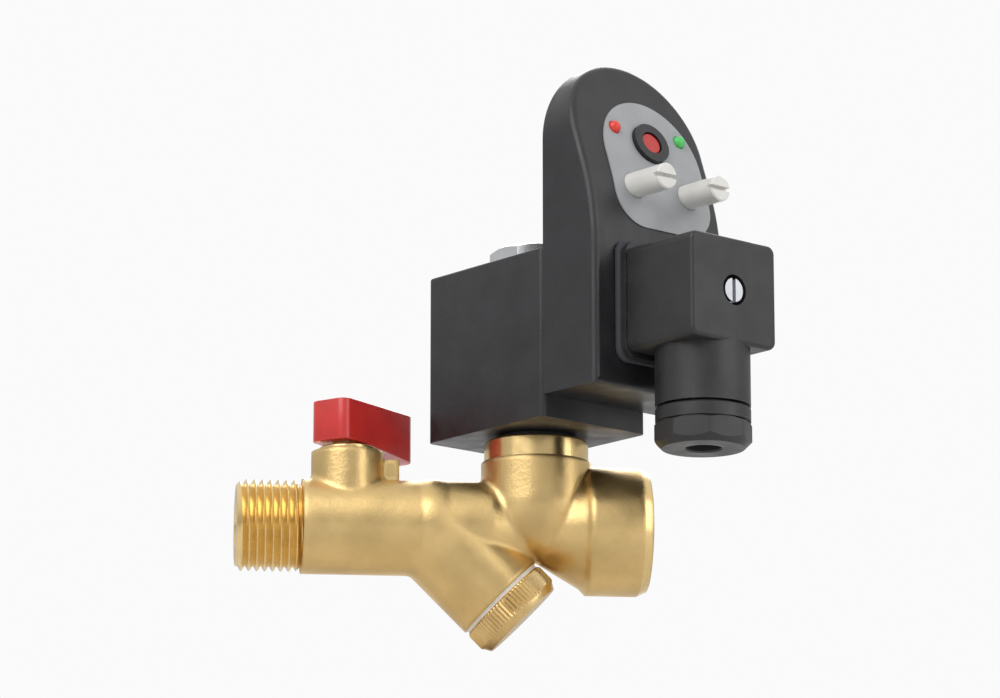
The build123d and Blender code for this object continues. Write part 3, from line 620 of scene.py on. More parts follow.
@dataclass(frozen=True)
class Winding(Finish):
    """Layers of enamelled copper wire round an upright bobbin, with painted shade in the grooves between turns."""

    wire: float = 0.35

    def sockets(self, graph: Graph) -> dict[str, Feed]:
        """Values and links of the shader's sockets.

        Args:
            graph: The material's tree.

        Returns:
            The values and links, by socket name.
        """
        height = graph.split(graph.place())[2]
        turns = (height * (math.pi / (self.wire * MM))).one("SINE").one("ABSOLUTE")
        return {
            # Painted shade: the grooves between turns are painted darker, at 0.45 of the copper colour.
            "Base Color": graph.mix(turns.ramp(0.1, 0.7), self.toned(0.45), self.colour),
            "Metallic": 0.9,
            "Roughness": self.patches(graph, 3.0, 0.05),
            "Normal": graph.bump(turns, 0.08),
        }


@dataclass(frozen=True)
class Board(Finish):
    """Glass-fibre circuit board with copper runs under green lacquer."""

    def sockets(self, graph: Graph) -> dict[str, Feed]:
        """Values and links of the shader's sockets.

        Args:
            graph: The material's tree.

        Returns:
            The values and links, by socket name.
        """
        tracks = graph.cells(graph.place(), 4.0, "DISTANCE_TO_EDGE").ramp(0.06, 0.1, 1.0, 0.0)
        return {
            "Base Color": graph.mix(tracks, self.colour, self.toned(2.2, 0.02)),
            "Roughness": self.patches(graph, 5.0, 0.05),
            "Coat Weight": 0.4,
            "Normal": graph.bump(tracks, 0.03),
        }


class Finishes:
    """Every finish on the valve.

    After a colour come the roughness and, for a moulding, its grain, grain depth, spread, coat, and edge rubbing
    with painted edge highlight.
    """

    body = ForgedBrass("forged_brass", "brass_body", (0.70, 0.50, 0.22), 0.36)
    pipe = TurnedMetal("turned_brass_pipe", "brass_turned", BRASS, 0.24)
    cap = TurnedMetal("turned_brass_cap", "brass_turned", (0.77, 0.56, 0.26), 0.26, at=LEG_AXIS, way=LEG_WAY)
    collar = TurnedMetal("turned_brass_collar", "brass_turned", BRASS, 0.22, at=COIL_AXIS, way=UP)
    gland = TurnedMetal("turned_brass_gland", "brass_turned", BRASS, 0.24, at=STEM_AXIS, way=UP)
    ball = TurnedMetal("chromed_ball", "chromed_ball", (0.80, 0.81, 0.83), 0.09, at=STEM_AXIS, way=UP)
    tube = TurnedMetal("stainless_tube", "steel", (0.62, 0.62, 0.61), 0.26, at=COIL_AXIS, way=UP)
    nut = BrushedMetal("zinc_steel", "steel", (0.66, 0.67, 0.68), 0.30)
    screw = TurnedMetal("screw_steel", "steel", (0.50, 0.51, 0.53), 0.34, at=COIL_AXIS, way=TERMINAL_WAY)
    lever = Moulding("red_coated_lever", "lever_red", (0.55, 0.022, 0.018), 0.34, 0.9, 0.04, 0.08, 0.5, 0.4)
    ptfe = Moulding("ptfe", "ptfe", (0.82, 0.81, 0.77), 0.42, 0.5, 0.006, 0.04)
    rubber = Moulding("rubber", "rubber", (0.016, 0.016, 0.017), 0.62, 0.3, 0.012, 0.15)
    coil = Moulding("coil_resin", "coil_black", (0.018, 0.018, 0.020), 0.42, 0.60, 0.050, 0.20, 0.0, 0.5)
    timer = Moulding("timer_housing", "timer_black", (0.014, 0.014, 0.016), 0.38, 0.42, 0.030, 0.16, 0.0, 0.4)
    plug = Moulding("plug_housing", "plug_black", (0.017, 0.017, 0.018), 0.44, 0.48, 0.036, 0.16, 0.0, 0.4)
    panel = Moulding("panel_film", "panel_grey", (0.34, 0.35, 0.36), 0.40, 0.12, 0.004, 0.05)
    block = Moulding("terminal_resin", "block_grey", (0.30, 0.31, 0.32), 0.45, 0.3, 0.010, 0.06)
    shaft = Moulding("shaft_nylon", "shaft_grey", (0.72, 0.71, 0.67), 0.36, 0.3, 0.008, 0.05)
    button = Moulding("test_button_red", "button_red", (0.50, 0.020, 0.016), 0.32, 0.3, 0.006, 0.08, 0.3)
    trimmer = Moulding("trimmer_blue", "trimmer_blue", (0.03, 0.12, 0.42), 0.35, 0.3, 0.006, 0.08)
    board = Board("circuit_board", "board_green", (0.012, 0.10, 0.035), 0.35)
    winding = Winding("copper_winding", "copper", (0.72, 0.30, 0.14), 0.30)
    copper = BrushedMetal("tinned_copper", "copper", (0.78, 0.46, 0.28), 0.28)
    power = Lens("lamp_red", "lamp_red", (0.85, 0.05, 0.03), 0.12)
    drain = Lens("lamp_green", "lamp_green", (0.05, 0.62, 0.12), 0.12)


# ---------------------------------------------------------------- meshes
class Section(Enum):
    """Outline of a ring across its axis."""

    ROUND = "round"
    HEXAGON = "hexagon"
    CROSS = "cross"

    def reach(self, size: float, turn: float) -> float:
        """Distance from the axis to the outline.

        Args:
            size: Radius of a circle, half the width of a hexagon, or the length of a cross's arms.
            turn: Angle round the axis.

        Returns:
            The distance, in the unit of the size.
        """
        if self is Section.HEXAGON:
            return size / math.cos((turn + math.pi / 6) % (math.pi / 3) - math.pi / 6)
        if self is Section.CROSS:
            long, short = sorted((abs(math.cos(turn)), abs(math.sin(turn))), reverse=True)
            return min(size / long, CROSS_ARM * size / max(short, 0.001))
        return size


def turned(rings: Sequence[Ring], around: int) -> bpy.types.Mesh:
    """Mesh turned round local +X from an outline, left open between its last corner and its first.

    Args:
        rings: Distance along the axis and size at each corner, in millimetres, and its section if it isn't
            round. A size of 0 is a point on the axis.
        around: Faces round it.

    Returns:
        The mesh, in metres.
    """
    shape = bmesh.new()
    loops = []
    for along, size, *section in rings:
        outline = (*section, Section.ROUND)[0]
        turns = [2 * math.pi * step / around for step in range(around if size else 1)]
        spots = [(outline.reach(size, turn) * MM, turn) for turn in turns]
        loops.append([shape.verts.new((along * MM, reach * math.cos(turn), reach * math.sin(turn)))
                      for reach, turn in spots])
    for first, second in zip(loops, loops[1:]):
        for step in range(around):
            after = step + 1
            corners = (first[step % len(first)], first[after % len(first)],
                       second[after % len(second)], second[step % len(second)])
            distinct = tuple(dict.fromkeys(corners))
            if len(distinct) > 2:
                shape.faces.new(distinct)
    return to_mesh(shape, "turned")


def to_mesh(shape: bmesh.types.BMesh, name: str) -> bpy.types.Mesh:
    """Frees a bmesh into a new mesh.

    Args:
        shape: The bmesh.
        name: The mesh's name.

    Returns:
        The mesh.
    """
    made = bpy.data.meshes.new(name)
    shape.to_mesh(made)
    shape.free()
    return made


def in_scene(name: str, data: bpy.types.ID) -> bpy.types.Object:
    """Makes an object at the origin.

    Args:
        name: Its name.
        data: Its mesh, light or camera.

    Returns:
        The object, linked to the scene.
    """
    made = bpy.data.objects.new(name, data)
    bpy.context.scene.collection.objects.link(made)
    return made


def baked(carrier: bpy.types.Object, modifier: bpy.types.Modifier) -> bpy.types.Mesh:
    """Turns what a modifier makes into a plain mesh.

    Args:
        carrier: A helper object, which is removed.
        modifier: Its modifier, which is removed.

    Returns:
        The mesh.
    """
    depsgraph = bpy.context.evaluated_depsgraph_get()
    mesh = bpy.data.meshes.new_from_object(carrier.evaluated_get(depsgraph))
    carrier.modifiers.remove(modifier)
    bpy.data.objects.remove(carrier)
    return mesh


def joined(meshes: Sequence[bpy.types.Mesh], at: Matrix, weld: float = 0.003) -> bpy.types.Mesh:
    """Joins meshes into one closed mesh.

    Args:
        meshes: Meshes whose edges meet.
        at: Place that they are moved to.
        weld: Corners nearer than this are merged, in millimetres.

    Returns:
        The joined mesh, with its faces turned outwards.
    """
    shape = bmesh.new()
    for mesh in meshes:
        shape.from_mesh(mesh)
    bmesh.ops.transform(shape, matrix=at, verts=shape.verts)
    bmesh.ops.remove_doubles(shape, verts=shape.verts, dist=weld * MM)
    bmesh.ops.dissolve_degenerate(shape, edges=shape.edges, dist=weld * MM / 3)
    bmesh.ops.recalc_face_normals(shape, faces=shape.faces)
    return to_mesh(shape, "joined")


# How softened() reads a node: corners merged (mm), facets taken as one face, edges left sharp (degrees).
FACET_WELD = 0.002
FACET_ANGLE = 1.0
EDGE_ANGLE = 35.0


def softened(node: str, width: float, segments: int = 3) -> bpy.types.Mesh:
    """Copy of a node's mesh with its sharp edges rounded.

    Args:
        node: The node.
        width: Width of the rounding, in millimetres.
        segments: Faces across it.

    Returns:
        The rounded copy.
    """
    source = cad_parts[node]
    shape = bmesh.new()
    shape.from_mesh(source.data)
    bmesh.ops.transform(shape, matrix=source.matrix_world, verts=shape.verts)
    bmesh.ops.remove_doubles(shape, verts=shape.verts, dist=FACET_WELD * MM)
    bmesh.ops.dissolve_limit(shape, angle_limit=math.radians(FACET_ANGLE), verts=shape.verts, edges=shape.edges)
    carrier = in_scene(node, to_mesh(shape, node))
    rounding = carrier.modifiers.new("rounding", "BEVEL")
    rounding.width = width * MM
    rounding.segments = segments
    rounding.limit_method = "ANGLE"
    rounding.angle_limit = math.radians(EDGE_ANGLE)
    return baked(carrier, rounding)


def add_piece(
    name: str, mesh: bpy.types.Mesh, finish: Finish, body: str, stands_for: Sequence[str] = (), sharp: float = 30.0
) -> bpy.types.Object:
    """Makes a finished piece that rides on a body.

    Args:
        name: The piece's name.
        mesh: Its mesh, already in place.
        finish: Its finish.
        body: The body it moves with.
        stands_for: The nodes it is shown instead of.
        sharp: Edges sharper than this, in degrees, stay crisp.

    Returns:
        The piece.
    """
    mesh.name = name
    mesh.materials.clear()
    mesh.materials.append(finish.material())
    mesh.shade_smooth()
    mesh.set_sharp_from_angle(angle=math.radians(sharp))
    piece = in_scene(name, mesh)
    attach(piece, body)
    if stands_for:
        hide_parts(*stands_for)
    log.info("%s: %d faces on %s", name, len(mesh.polygons), body)
    return piece


def add_softened(name: str, node: str, finish: Finish, width: float, body: str = "valve", segments: int = 3) -> None:
    """Shows a node as a piece with rounded edges.

    Args:
        name: The piece's name.
        node: The node it is shown instead of.
        finish: Its finish.
        width: Width of the rounding, in millimetres.
        body: The body it moves with.
        segments: Faces across the rounding.
    """
    add_piece(name, softened(node, width, segments), finish, body, (node,))


def dress(finish: Finish, *nodes: str) -> None:
    """Gives carried-over nodes their finish.

    Args:
        finish: The finish.
        nodes: The nodes' names.
    """
    for node in nodes:
        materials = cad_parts[node].data.materials
        materials.clear()
        materials.append(finish.material())


class Rule:
    """A geometry node tree with named sizes, run once to make a plain mesh."""

    def __init__(self, name: str, lengths: Mapping[str, float], numbers: Mapping[str, float]) -> None:
        """Starts the tree.

        Args:
            name: The tree's name.
            lengths: Its named inputs that are lengths, in millimetres.
            numbers: Its other named inputs.
        """
        self.tree = bpy.data.node_groups.new(name, "GeometryNodeTree")
        self.graph = Graph(self.tree)
        self.values: dict[str, float] = {}
        self.tree.interface.new_socket("Geometry", in_out="OUTPUT", socket_type="NodeSocketGeometry")
        sizes = {key: length * MM for key, length in lengths.items()}
        for key, value in {**sizes, **numbers}.items():
            kind = "NodeSocketInt" if isinstance(value, int) else "NodeSocketFloat"
            socket = self.tree.interface.new_socket(key, in_out="INPUT", socket_type=kind)
            self.values[socket.identifier] = value
        self.entry = self.graph.node("NodeGroupInput")

    def size(self, name: str) -> Socket:
        """One of the named inputs."""
        return self.graph.out(self.entry, name)

    def sheet(self, rows: Feed, height: float = 1.0) -> tuple[Socket, Socket, Socket]:
        """Starts a grid whose columns go once round the axis and whose rows go along it.

        Args:
            rows: Corners along it.
            height: Its size along the rows.

        Returns:
            The grid, each corner's share of a turn, and its place along the rows, from 0 up.
        """
        grid = self.graph.result("GeometryNodeMeshGrid", {
            "Size X": 1.0, "Size Y": height, "Vertices X": self.size("Around"), "Vertices Y": rows}, "Mesh")
        place = self.graph.split(self.graph.result("GeometryNodeInputPosition"))
        return grid, place[0] + 0.5, place[1] + height / 2

    def rolled(self, grid: Socket, turn: Socket, along: Socket, radius: Socket) -> Socket:
        """Rolls a grid round local +X and welds its seam.

        Args:
            grid: The grid.
            turn: Each corner's share of a turn.
            along: Its distance along the axis.
            radius: Its distance from the axis.

        Returns:
            The rolled grid.
        """
        graph, angle = self.graph, turn * (2 * math.pi)
        spot = graph.join(along, radius * angle.one("COSINE"), radius * angle.one("SINE"))
        moved = graph.result("GeometryNodeSetPosition", {"Geometry": grid, "Position": spot})
        return graph.result("GeometryNodeMergeByDistance", {"Geometry": moved, "Distance": 0.001 * MM})

    def run(self, geometry: Socket, finish: Finish) -> bpy.types.Mesh:
        """Closes the tree and turns its result into a mesh.

        Args:
            geometry: What the tree makes.
            finish: The finish its faces take.

        Returns:
            The mesh.
        """
        real = self.graph.result("GeometryNodeRealizeInstances", {0: geometry})
        clad = self.graph.result("GeometryNodeSetMaterial", {"Geometry": real, "Material": finish.material()})
        self.graph.node("NodeGroupOutput", {"Geometry": clad})
        carrier = in_scene(self.tree.name, bpy.data.meshes.new(self.tree.name))
        modifier = carrier.modifiers.new("rule", "NODES")
        modifier.node_group = self.tree
        for identifier, value in self.values.items():
            modifier[identifier] = value
        return baked(carrier, modifier)


def placed(mesh: bpy.types.Mesh, at: Matrix) -> bpy.types.Mesh:
    """Moves a mesh from the local axis to its place, and returns it."""
    mesh.transform(at)
    return mesh


def beside_coil(depth: float, aside: float, height: float) -> Vector:
    """Point on the coil's terminal side.

    Args:
        depth: Distance from the coil's axis towards that side, in millimetres.
        aside: Distance across it.
        height: Height above the pipe's axis.

    Returns:
        The point, in millimetres.
    """
    point = Vector(COIL_AXIS) + Vector(TERMINAL_WAY) * depth + Vector(WIDTH_WAY) * aside
    point.z = height
    return point


def looking(at: Sequence[float], way: Sequence[float], side: Sequence[float]) -> Matrix:
    """Place whose local +X runs along a direction.

    Args:
        at: Its origin, in millimetres.
        way: Direction of its local +X.
        side: Rough direction of its local +Y.

    Returns:
        The place, in metres.
    """
    x = Vector(way).normalized()
    z = x.cross(Vector(side)).normalized()
    y = z.cross(x)
    turn = Matrix((x, y, z)).transposed().to_4x4()
    return Matrix.Translation(Vector(at) * MM) @ turn


class Hand(Enum):
    """Side of the wall that a screw thread is cut in."""

    OUTSIDE = 1
    INSIDE = -1


@dataclass
class ScrewThread:
    """A pipe thread that follows its helix, with a lead-in at its mouth and a run-out behind."""

    name: str
    pitch: float
    length: float
    crest: float
    root: float
    mouth: float
    end: float
    hand: Hand = Hand.OUTSIDE
    around: int = 96
    steps: int = 8
    slope: float = 1.0
    valley: float = 0.12
    steepness: float = 1.35

    def mesh(self, finish: Finish) -> bpy.types.Mesh:
        """Builds the threaded wall along local +X.

        Args:
            finish: Finish of its faces.

        Returns:
            The mesh, in metres.
        """
        rows = int(math.ceil(self.length / self.pitch) + 2) * self.steps + 1
        rule = Rule(self.name, {"Pitch": self.pitch, "Length": self.length, "Crest": self.crest,
                                "Root": self.root, "Mouth": self.mouth, "End": self.end},
                    {"Slope": self.slope, "Around": self.around + 1, "Rows": rows})
        grid, turn, place = rule.sheet(rule.size("Rows"))
        lead = (place * (rows - 1) + ROW_NUDGE).one("FLOOR") * (1.0 / self.steps)
        along = ((lead + turn - 1.5) * rule.size("Pitch")).most(0.0).least(rule.size("Length"))
        crown = ((lead.wave() - self.valley) * self.steepness).most(0.0).least(1.0)
        side = float(self.hand.value)
        radius = rule.size("Root") + crown * (rule.size("Crest") - rule.size("Root"))
        lead_in = rule.size("Mouth") + along * rule.size("Slope") * side
        run_out = rule.size("End") + (rule.size("Length") - along) * rule.size("Slope") * side
        if self.hand is Hand.OUTSIDE:
            radius = radius.least(lead_in).least(run_out)
        else:
            radius = radius.most(lead_in).most(run_out)
        geometry = rule.rolled(grid, turn, along, radius)
        if self.hand is Hand.INSIDE:
            geometry = rule.graph.result("GeometryNodeFlipFaces", {0: geometry})
        return rule.run(geometry, finish)


@dataclass
class GripRidges:
    """Straight knurling round a turned band."""

    name: str
    length: float
    crest: float
    root: float
    ridges: int
    mouth: float

    def mesh(self, finish: Finish) -> bpy.types.Mesh:
        """Builds the ridged band along local +X.

        Args:
            finish: Finish of its faces.

        Returns:
            The mesh, in metres.
        """
        rule = Rule(self.name, {"Length": self.length, "Crest": self.crest, "Root": self.root,
                                "Mouth": self.mouth}, {"Ridges": self.ridges, "Around": self.ridges * 4 + 1})
        grid, turn, place = rule.sheet(12)
        along = place * rule.size("Length")
        wave = (turn * rule.size("Ridges")).wave()
        radius = rule.size("Root") + wave * (rule.size("Crest") - rule.size("Root"))
        edge = along.least(rule.size("Length") - along)
        radius = radius.least(rule.size("Mouth") + edge)
        return rule.run(rule.rolled(grid, turn, along, radius), finish)


@dataclass
class NutFlats:
    """Outside of a nut with flat sides, whose corners are chamfered at both ends."""

    name: str
    sides: int
    flats: float
    length: float
    corner: float
    low_face: float
    high_face: float
    slope: float = 0.577
    steps: int = 12

    @property
    def around(self) -> int:
        """Faces round the nut."""
        return self.sides * self.steps

    def mesh(self, finish: Finish) -> bpy.types.Mesh:
        """Builds the sides along local +X.

        Args:
            finish: Finish of its faces.

        Returns:
            The mesh, in metres.
        """
        rule = Rule(self.name, {"Length": self.length, "Flats": self.flats, "Corner": self.corner,
                                "Low Face": self.low_face, "High Face": self.high_face},
                    {"Slope": self.slope, "Sides": self.sides, "Around": self.around + 1})
        grid, turn, row = rule.sheet(4, 3.0)
        half = 2 * math.pi / self.sides
        swing = ((turn * rule.size("Sides") + NUDGE / 2).one("FRACT") - 0.5) * half
        wall = (rule.size("Flats") * 0.5 / swing.one("COSINE")).least(rule.size("Corner"))
        low = (wall - rule.size("Low Face")) * rule.size("Slope")
        high = rule.size("Length") - (wall - rule.size("High Face")) * rule.size("Slope")
        along = rule.graph.pick(row, (0.0, low, high, rule.size("Length")))
        radius = rule.graph.pick(row, (rule.size("Low Face"), wall, wall, rule.size("High Face")))
        return rule.run(rule.rolled(grid, turn, along, radius), finish)


@dataclass
class RecessedScrew:
    """Cylinder-headed screw with a recess for its driver, whose head stands on local +X."""

    head: float
    head_height: float
    thread: float
    length: float
    section: Section
    recess: float
    recess_depth: float
    edge: float = 0.2
    recess_edge: float = 0.08
    recess_point: float = 0.3
    around: int = 72

    def mesh(self) -> bpy.types.Mesh:
        """Builds the screw with the underside of its head at the origin.

        Returns:
            The mesh, in metres.
        """
        top, floor = self.head_height, self.head_height - self.recess_depth
        taper = CROSS_TAPER if self.section is Section.CROSS else 1.0
        return turned((
            (-self.length, 0.0), (-self.length, self.thread - self.edge), (self.edge - self.length, self.thread),
            (0.0, self.thread), (0.0, self.head), (top - self.edge, self.head), (top, self.head - self.edge),
            (top, self.recess + self.recess_edge, self.section),
            (top - self.recess_edge, self.recess, self.section),
            (floor, self.recess * taper, self.section), (floor - self.recess_point, 0.0)), self.around)


@dataclass
class WoundSpring:
    """Open-wound spring of round wire."""

    name: str
    wire: float
    diameter: float
    turns: int
    length: float
    steps: int = 28
    sides: int = 10

    def mesh(self, finish: Finish) -> bpy.types.Mesh:
        """Winds the spring up local +Z from its lowest point.

        Args:
            finish: Finish of its faces.

        Returns:
            The mesh, in metres.
        """
        rule = Rule(self.name, {"Wire Radius": self.wire / 2, "Radius": (self.diameter - self.wire) / 2,
                                "Rise": self.length - self.wire},
                    {"Turns": float(self.turns), "Steps": self.steps, "Sides": self.sides})
        graph = rule.graph
        line = graph.result("GeometryNodeCurveSpiral", {
            "Resolution": rule.size("Steps"), "Rotations": rule.size("Turns"), "Start Radius": rule.size("Radius"),
            "End Radius": rule.size("Radius"), "Height": rule.size("Rise")})
        section = graph.result("GeometryNodeCurvePrimitiveCircle", {
            "Resolution": rule.size("Sides"), "Radius": rule.size("Wire Radius")})
        wound = graph.result("GeometryNodeCurveToMesh", {"Curve": line, "Profile Curve": section, "Fill Caps": True})
        return rule.run(wound, finish)


# ---------------------------------------------------------------- sub-assemblies
@dataclass
class BrassBody:
    """The forged body, its threaded nipple and the thread in its outlet."""

    pitch: float = 1.814
    crest: float = 10.4775
    root: float = 9.3155
    nipple_length: float = 15.0
    nipple_bore: float = 4.5
    shank: float = 8.4
    shank_end: float = 18.0
    outlet_end: float = 94.4
    outlet_depth: float = 12.3
    outlet_gap: float = 0.02
    outlet_height: float = 0.62
    mouth_step: float = 0.1
    bore_chamfer: float = 0.6
    around: int = 96

    def nipple(self) -> None:
        """Builds the inlet nipple with its outside thread."""
        mouth, bore = self.root - self.mouth_step, self.nipple_bore
        wall = ScrewThread("inlet_thread_rule", self.pitch, self.nipple_length, self.crest, self.root,
                           mouth, mouth, around=self.around).mesh(Finishes.pipe)
        liner = turned(((0.0, mouth), (0.0, bore + self.bore_chamfer), (self.bore_chamfer, bore),
                        (self.shank_end, bore), (self.shank_end, self.shank),
                        (self.nipple_length, self.shank), (self.nipple_length, mouth)), self.around)
        shape = joined((wall, liner), looking((0.0, 0.0, 0.0), ALONG, ACROSS))
        add_piece("threaded_nipple", shape, Finishes.pipe, "valve", ("inlet_nipple",))

    def outlet(self) -> None:
        """Builds the thread inside the outlet's mouth."""
        axis = looking((self.outlet_end, 0.0, 0.0), (-1.0, 0.0, 0.0), ACROSS)
        wall = self.root - self.outlet_gap
        thread = ScrewThread("outlet_thread_rule", self.pitch, self.outlet_depth, wall - self.outlet_height,
                             wall, wall, wall, Hand.INSIDE, self.around)
        add_piece("outlet_thread", placed(thread.mesh(Finishes.pipe), axis), Finishes.pipe, "valve")

    def build(self) -> None:
        """Builds and dresses the body."""
        self.nipple()
        self.outlet()
        dress(Finishes.body, "valve_body")


@dataclass
class BallValve:
    """The ball, its seats and stem, and the lever that turns it."""

    lever_edge: float = 0.7
    gland_edge: float = 0.25
    screw_head: float = 3.5
    screw_head_height: float = 2.4
    screw_thread: float = 1.6
    socket: float = 2.0
    socket_depth: float = 1.6

    def screw(self) -> None:
        """Builds the socket screw that holds the lever."""
        low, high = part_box("lever_screw")
        floor, top = low[2] / MM, high[2] / MM
        shape = RecessedScrew(self.screw_head, self.screw_head_height, self.screw_thread,
                              top - floor - self.screw_head_height, Section.HEXAGON, self.socket,
                              self.socket_depth)
        axis = looking((STEM_AXIS[0], 0.0, top - self.screw_head_height), UP, (1.0, 0.3, 0.0))
        add_piece("lever_socket_screw", joined((shape.mesh(),), axis), Finishes.nut, "shut_off", ("lever_screw",))

    def build(self) -> None:
        """Dresses the ball valve."""
        dress(Finishes.ball, "ball")
        dress(Finishes.ptfe, "inlet_ball_seat", "outlet_ball_seat", "stem_packing")
        dress(Finishes.gland, "valve_stem")
        add_softened("gland_nut_of_stem", "stem_gland_nut", Finishes.gland, self.gland_edge)
        add_softened("coated_lever", "lever", Finishes.lever, self.lever_edge, "shut_off", 4)
        self.screw()


@dataclass
class Strainer:
    """The strainer's screen, gasket and knurled cap."""

    leg_length: float = 22.2
    gasket: float = 0.8
    cap_length: float = 6.5
    crest: float = 11.3
    root: float = 10.95
    rim_drop: float = 0.2
    chamfer: float = 1.4
    crown: float = 0.5
    crown_step: float = 0.25
    crown_round: float = 0.77
    lip: float = 0.15
    lip_drop: float = 0.05
    shank: float = 5.0
    shank_radius: float = 8.4
    screen_radius: float = 6.1
    screen_depth: float = 2.9
    ridges: int = 72

    def cap(self) -> None:
        """Builds the cap with its ridged grip."""
        floor = self.leg_length + self.gasket
        axis = looking(Vector(LEG_AXIS) + Vector(LEG_WAY) * floor, LEG_WAY, ACROSS)
        rim = self.root - self.rim_drop
        end = self.cap_length - self.chamfer
        band = GripRidges("cap_grip_rule", end, self.crest, self.root, self.ridges, rim).mesh(Finishes.cap)
        deep = -self.shank - self.gasket
        ends = turned(((0.0, rim), (0.0, self.shank_radius), (deep, self.shank_radius),
                       (deep, self.screen_radius), (deep + self.screen_depth, self.screen_radius),
                       (deep + self.screen_depth, 0.0), (self.cap_length, 0.0),
                       (self.cap_length, rim - self.chamfer + self.crown),
                       (self.cap_length - self.crown_step, rim - self.chamfer + self.crown_round),
                       (end + self.lip, rim - self.lip_drop), (end, rim)), self.ridges * 4)
        add_piece("knurled_cap", joined((band, ends), axis), Finishes.cap, "valve", ("strainer_cap",))

    def build(self) -> None:
        """Builds and dresses the strainer."""
        self.cap()
        dress(Finishes.tube, "strainer_screen")
        dress(Finishes.ptfe, "strainer_gasket")


@dataclass
class Solenoid:
    """The tube, plunger and spring that the coil works."""

    wire: float = 0.7
    diameter: float = 5.0
    turns: int = 7
    stroke: float = 2.5

    def spring(self) -> None:
        """Builds the return spring, which keeps its shape as the plunger lifts."""
        low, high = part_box("plunger_spring")
        length, middle = (high[2] - low[2]) / MM, (COIL_AXIS[0] * MM, COIL_AXIS[1] * MM)
        wound = WoundSpring("return_spring_rule", self.wire, self.diameter, self.turns, length).mesh(Finishes.tube)
        placed(wound, Matrix.Translation((*middle, low[2] + self.wire / 2 * MM)))
        piece = add_piece("return_spring", wound, Finishes.tube, "valve", ("plunger_spring",), 60.0)
        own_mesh(piece)

    def build(self) -> None:
        """Builds and dresses the solenoid."""
        self.spring()
        dress(Finishes.rubber, "bonnet_seal", "plunger_seal", "coil_seal")
        dress(Finishes.collar, "bonnet_collar")
        dress(Finishes.tube, "armature_tube", "fixed_core", "plunger")
        dress(Finishes.copper, "shading_ring")


@dataclass
class Coil:
    """The moulded coil with its winding, yoke and nut."""

    nut_floor: float = 61.6
    nut_height: float = 4.4
    nut_flats: float = 19.0
    nut_face: float = 9.0
    nut_corner: float = 10.75
    stud: float = 5.05
    bore_chamfer: float = 0.5
    case_edge: float = 0.5
    washer_edge: float = 0.15

    def nut(self) -> None:
        """Builds the hexagon nut on the tube's stud."""
        axis = looking((COIL_AXIS[0], 0.0, self.nut_floor), UP, ALONG)
        flats = NutFlats("coil_nut_rule", 6, self.nut_flats, self.nut_height, self.nut_corner, self.nut_face,
                         self.nut_face)
        edge, top = self.bore_chamfer, self.nut_height
        bore = turned(((top, self.nut_face), (top, self.stud + edge), (top - edge, self.stud), (edge, self.stud),
                       (0.0, self.stud + edge), (0.0, self.nut_face)), flats.around)
        shape = joined((flats.mesh(Finishes.nut), bore), axis)
        add_piece("hexagon_nut", shape, Finishes.nut, "valve", ("coil_nut",), 20.0)

    def build(self) -> None:
        """Builds and dresses the coil."""
        self.nut()
        add_softened("moulded_coil", "coil_case", Finishes.coil, self.case_edge)
        add_softened("plain_washer", "coil_washer", Finishes.nut, self.washer_edge, segments=2)
        dress(Finishes.nut, "coil_yoke")
        dress(Finishes.ptfe, "coil_bobbin")
        dress(Finishes.winding, "coil_winding")
        dress(Finishes.copper, "coil_terminals")


@dataclass
class Timer:
    """The timer's housing, panel and controls."""

    screw_places: tuple[tuple[float, float], ...] = ((-10.0, 31.5), (19.0, 31.5), (4.5, 99.5))
    screw_head: float = 2.2
    screw_head_height: float = 1.0
    screw_thread: float = 1.15
    screw_length: float = 2.7
    cross: float = 1.35
    cross_depth: float = 0.65
    screw_edge: float = 0.12

    def screws(self) -> None:
        """Builds the cross-recessed screws in the back of the housing."""
        shape = RecessedScrew(self.screw_head, self.screw_head_height, self.screw_thread, self.screw_length,
                              Section.CROSS, self.cross, self.cross_depth, self.screw_edge)
        meshes = []
        for aside, height in self.screw_places:
            # Each screw stops at a turn of its own.
            seat = beside_coil(COIL_HALF_DEPTH + self.screw_head_height, aside, height)
            meshes.append(placed(shape.mesh(), looking(seat, -Vector(TERMINAL_WAY), (aside, 9.0, 20.0))))
        shape = joined(meshes, Matrix.Identity(4))
        add_piece("case_screws", shape, Finishes.screw, "valve", ("timer_case_screws",))

    def build(self) -> None:
        """Builds and dresses the timer."""
        self.screws()
        dress(Finishes.timer, "timer_cover", "timer_back_plate")
        dress(Finishes.panel, "timer_panel")
        dress(Finishes.board, "circuit_board")
        dress(Finishes.copper, "timer_terminals")
        dress(Finishes.power, "power_lamp")
        dress(Finishes.drain, "drain_lamp")
        dress(Finishes.trimmer, "interval_trimmer", "discharge_trimmer")
        dress(Finishes.shaft, "interval_shaft", "discharge_shaft")
        dress(Finishes.button, "test_button")
        dress(Finishes.timer, "test_switch")


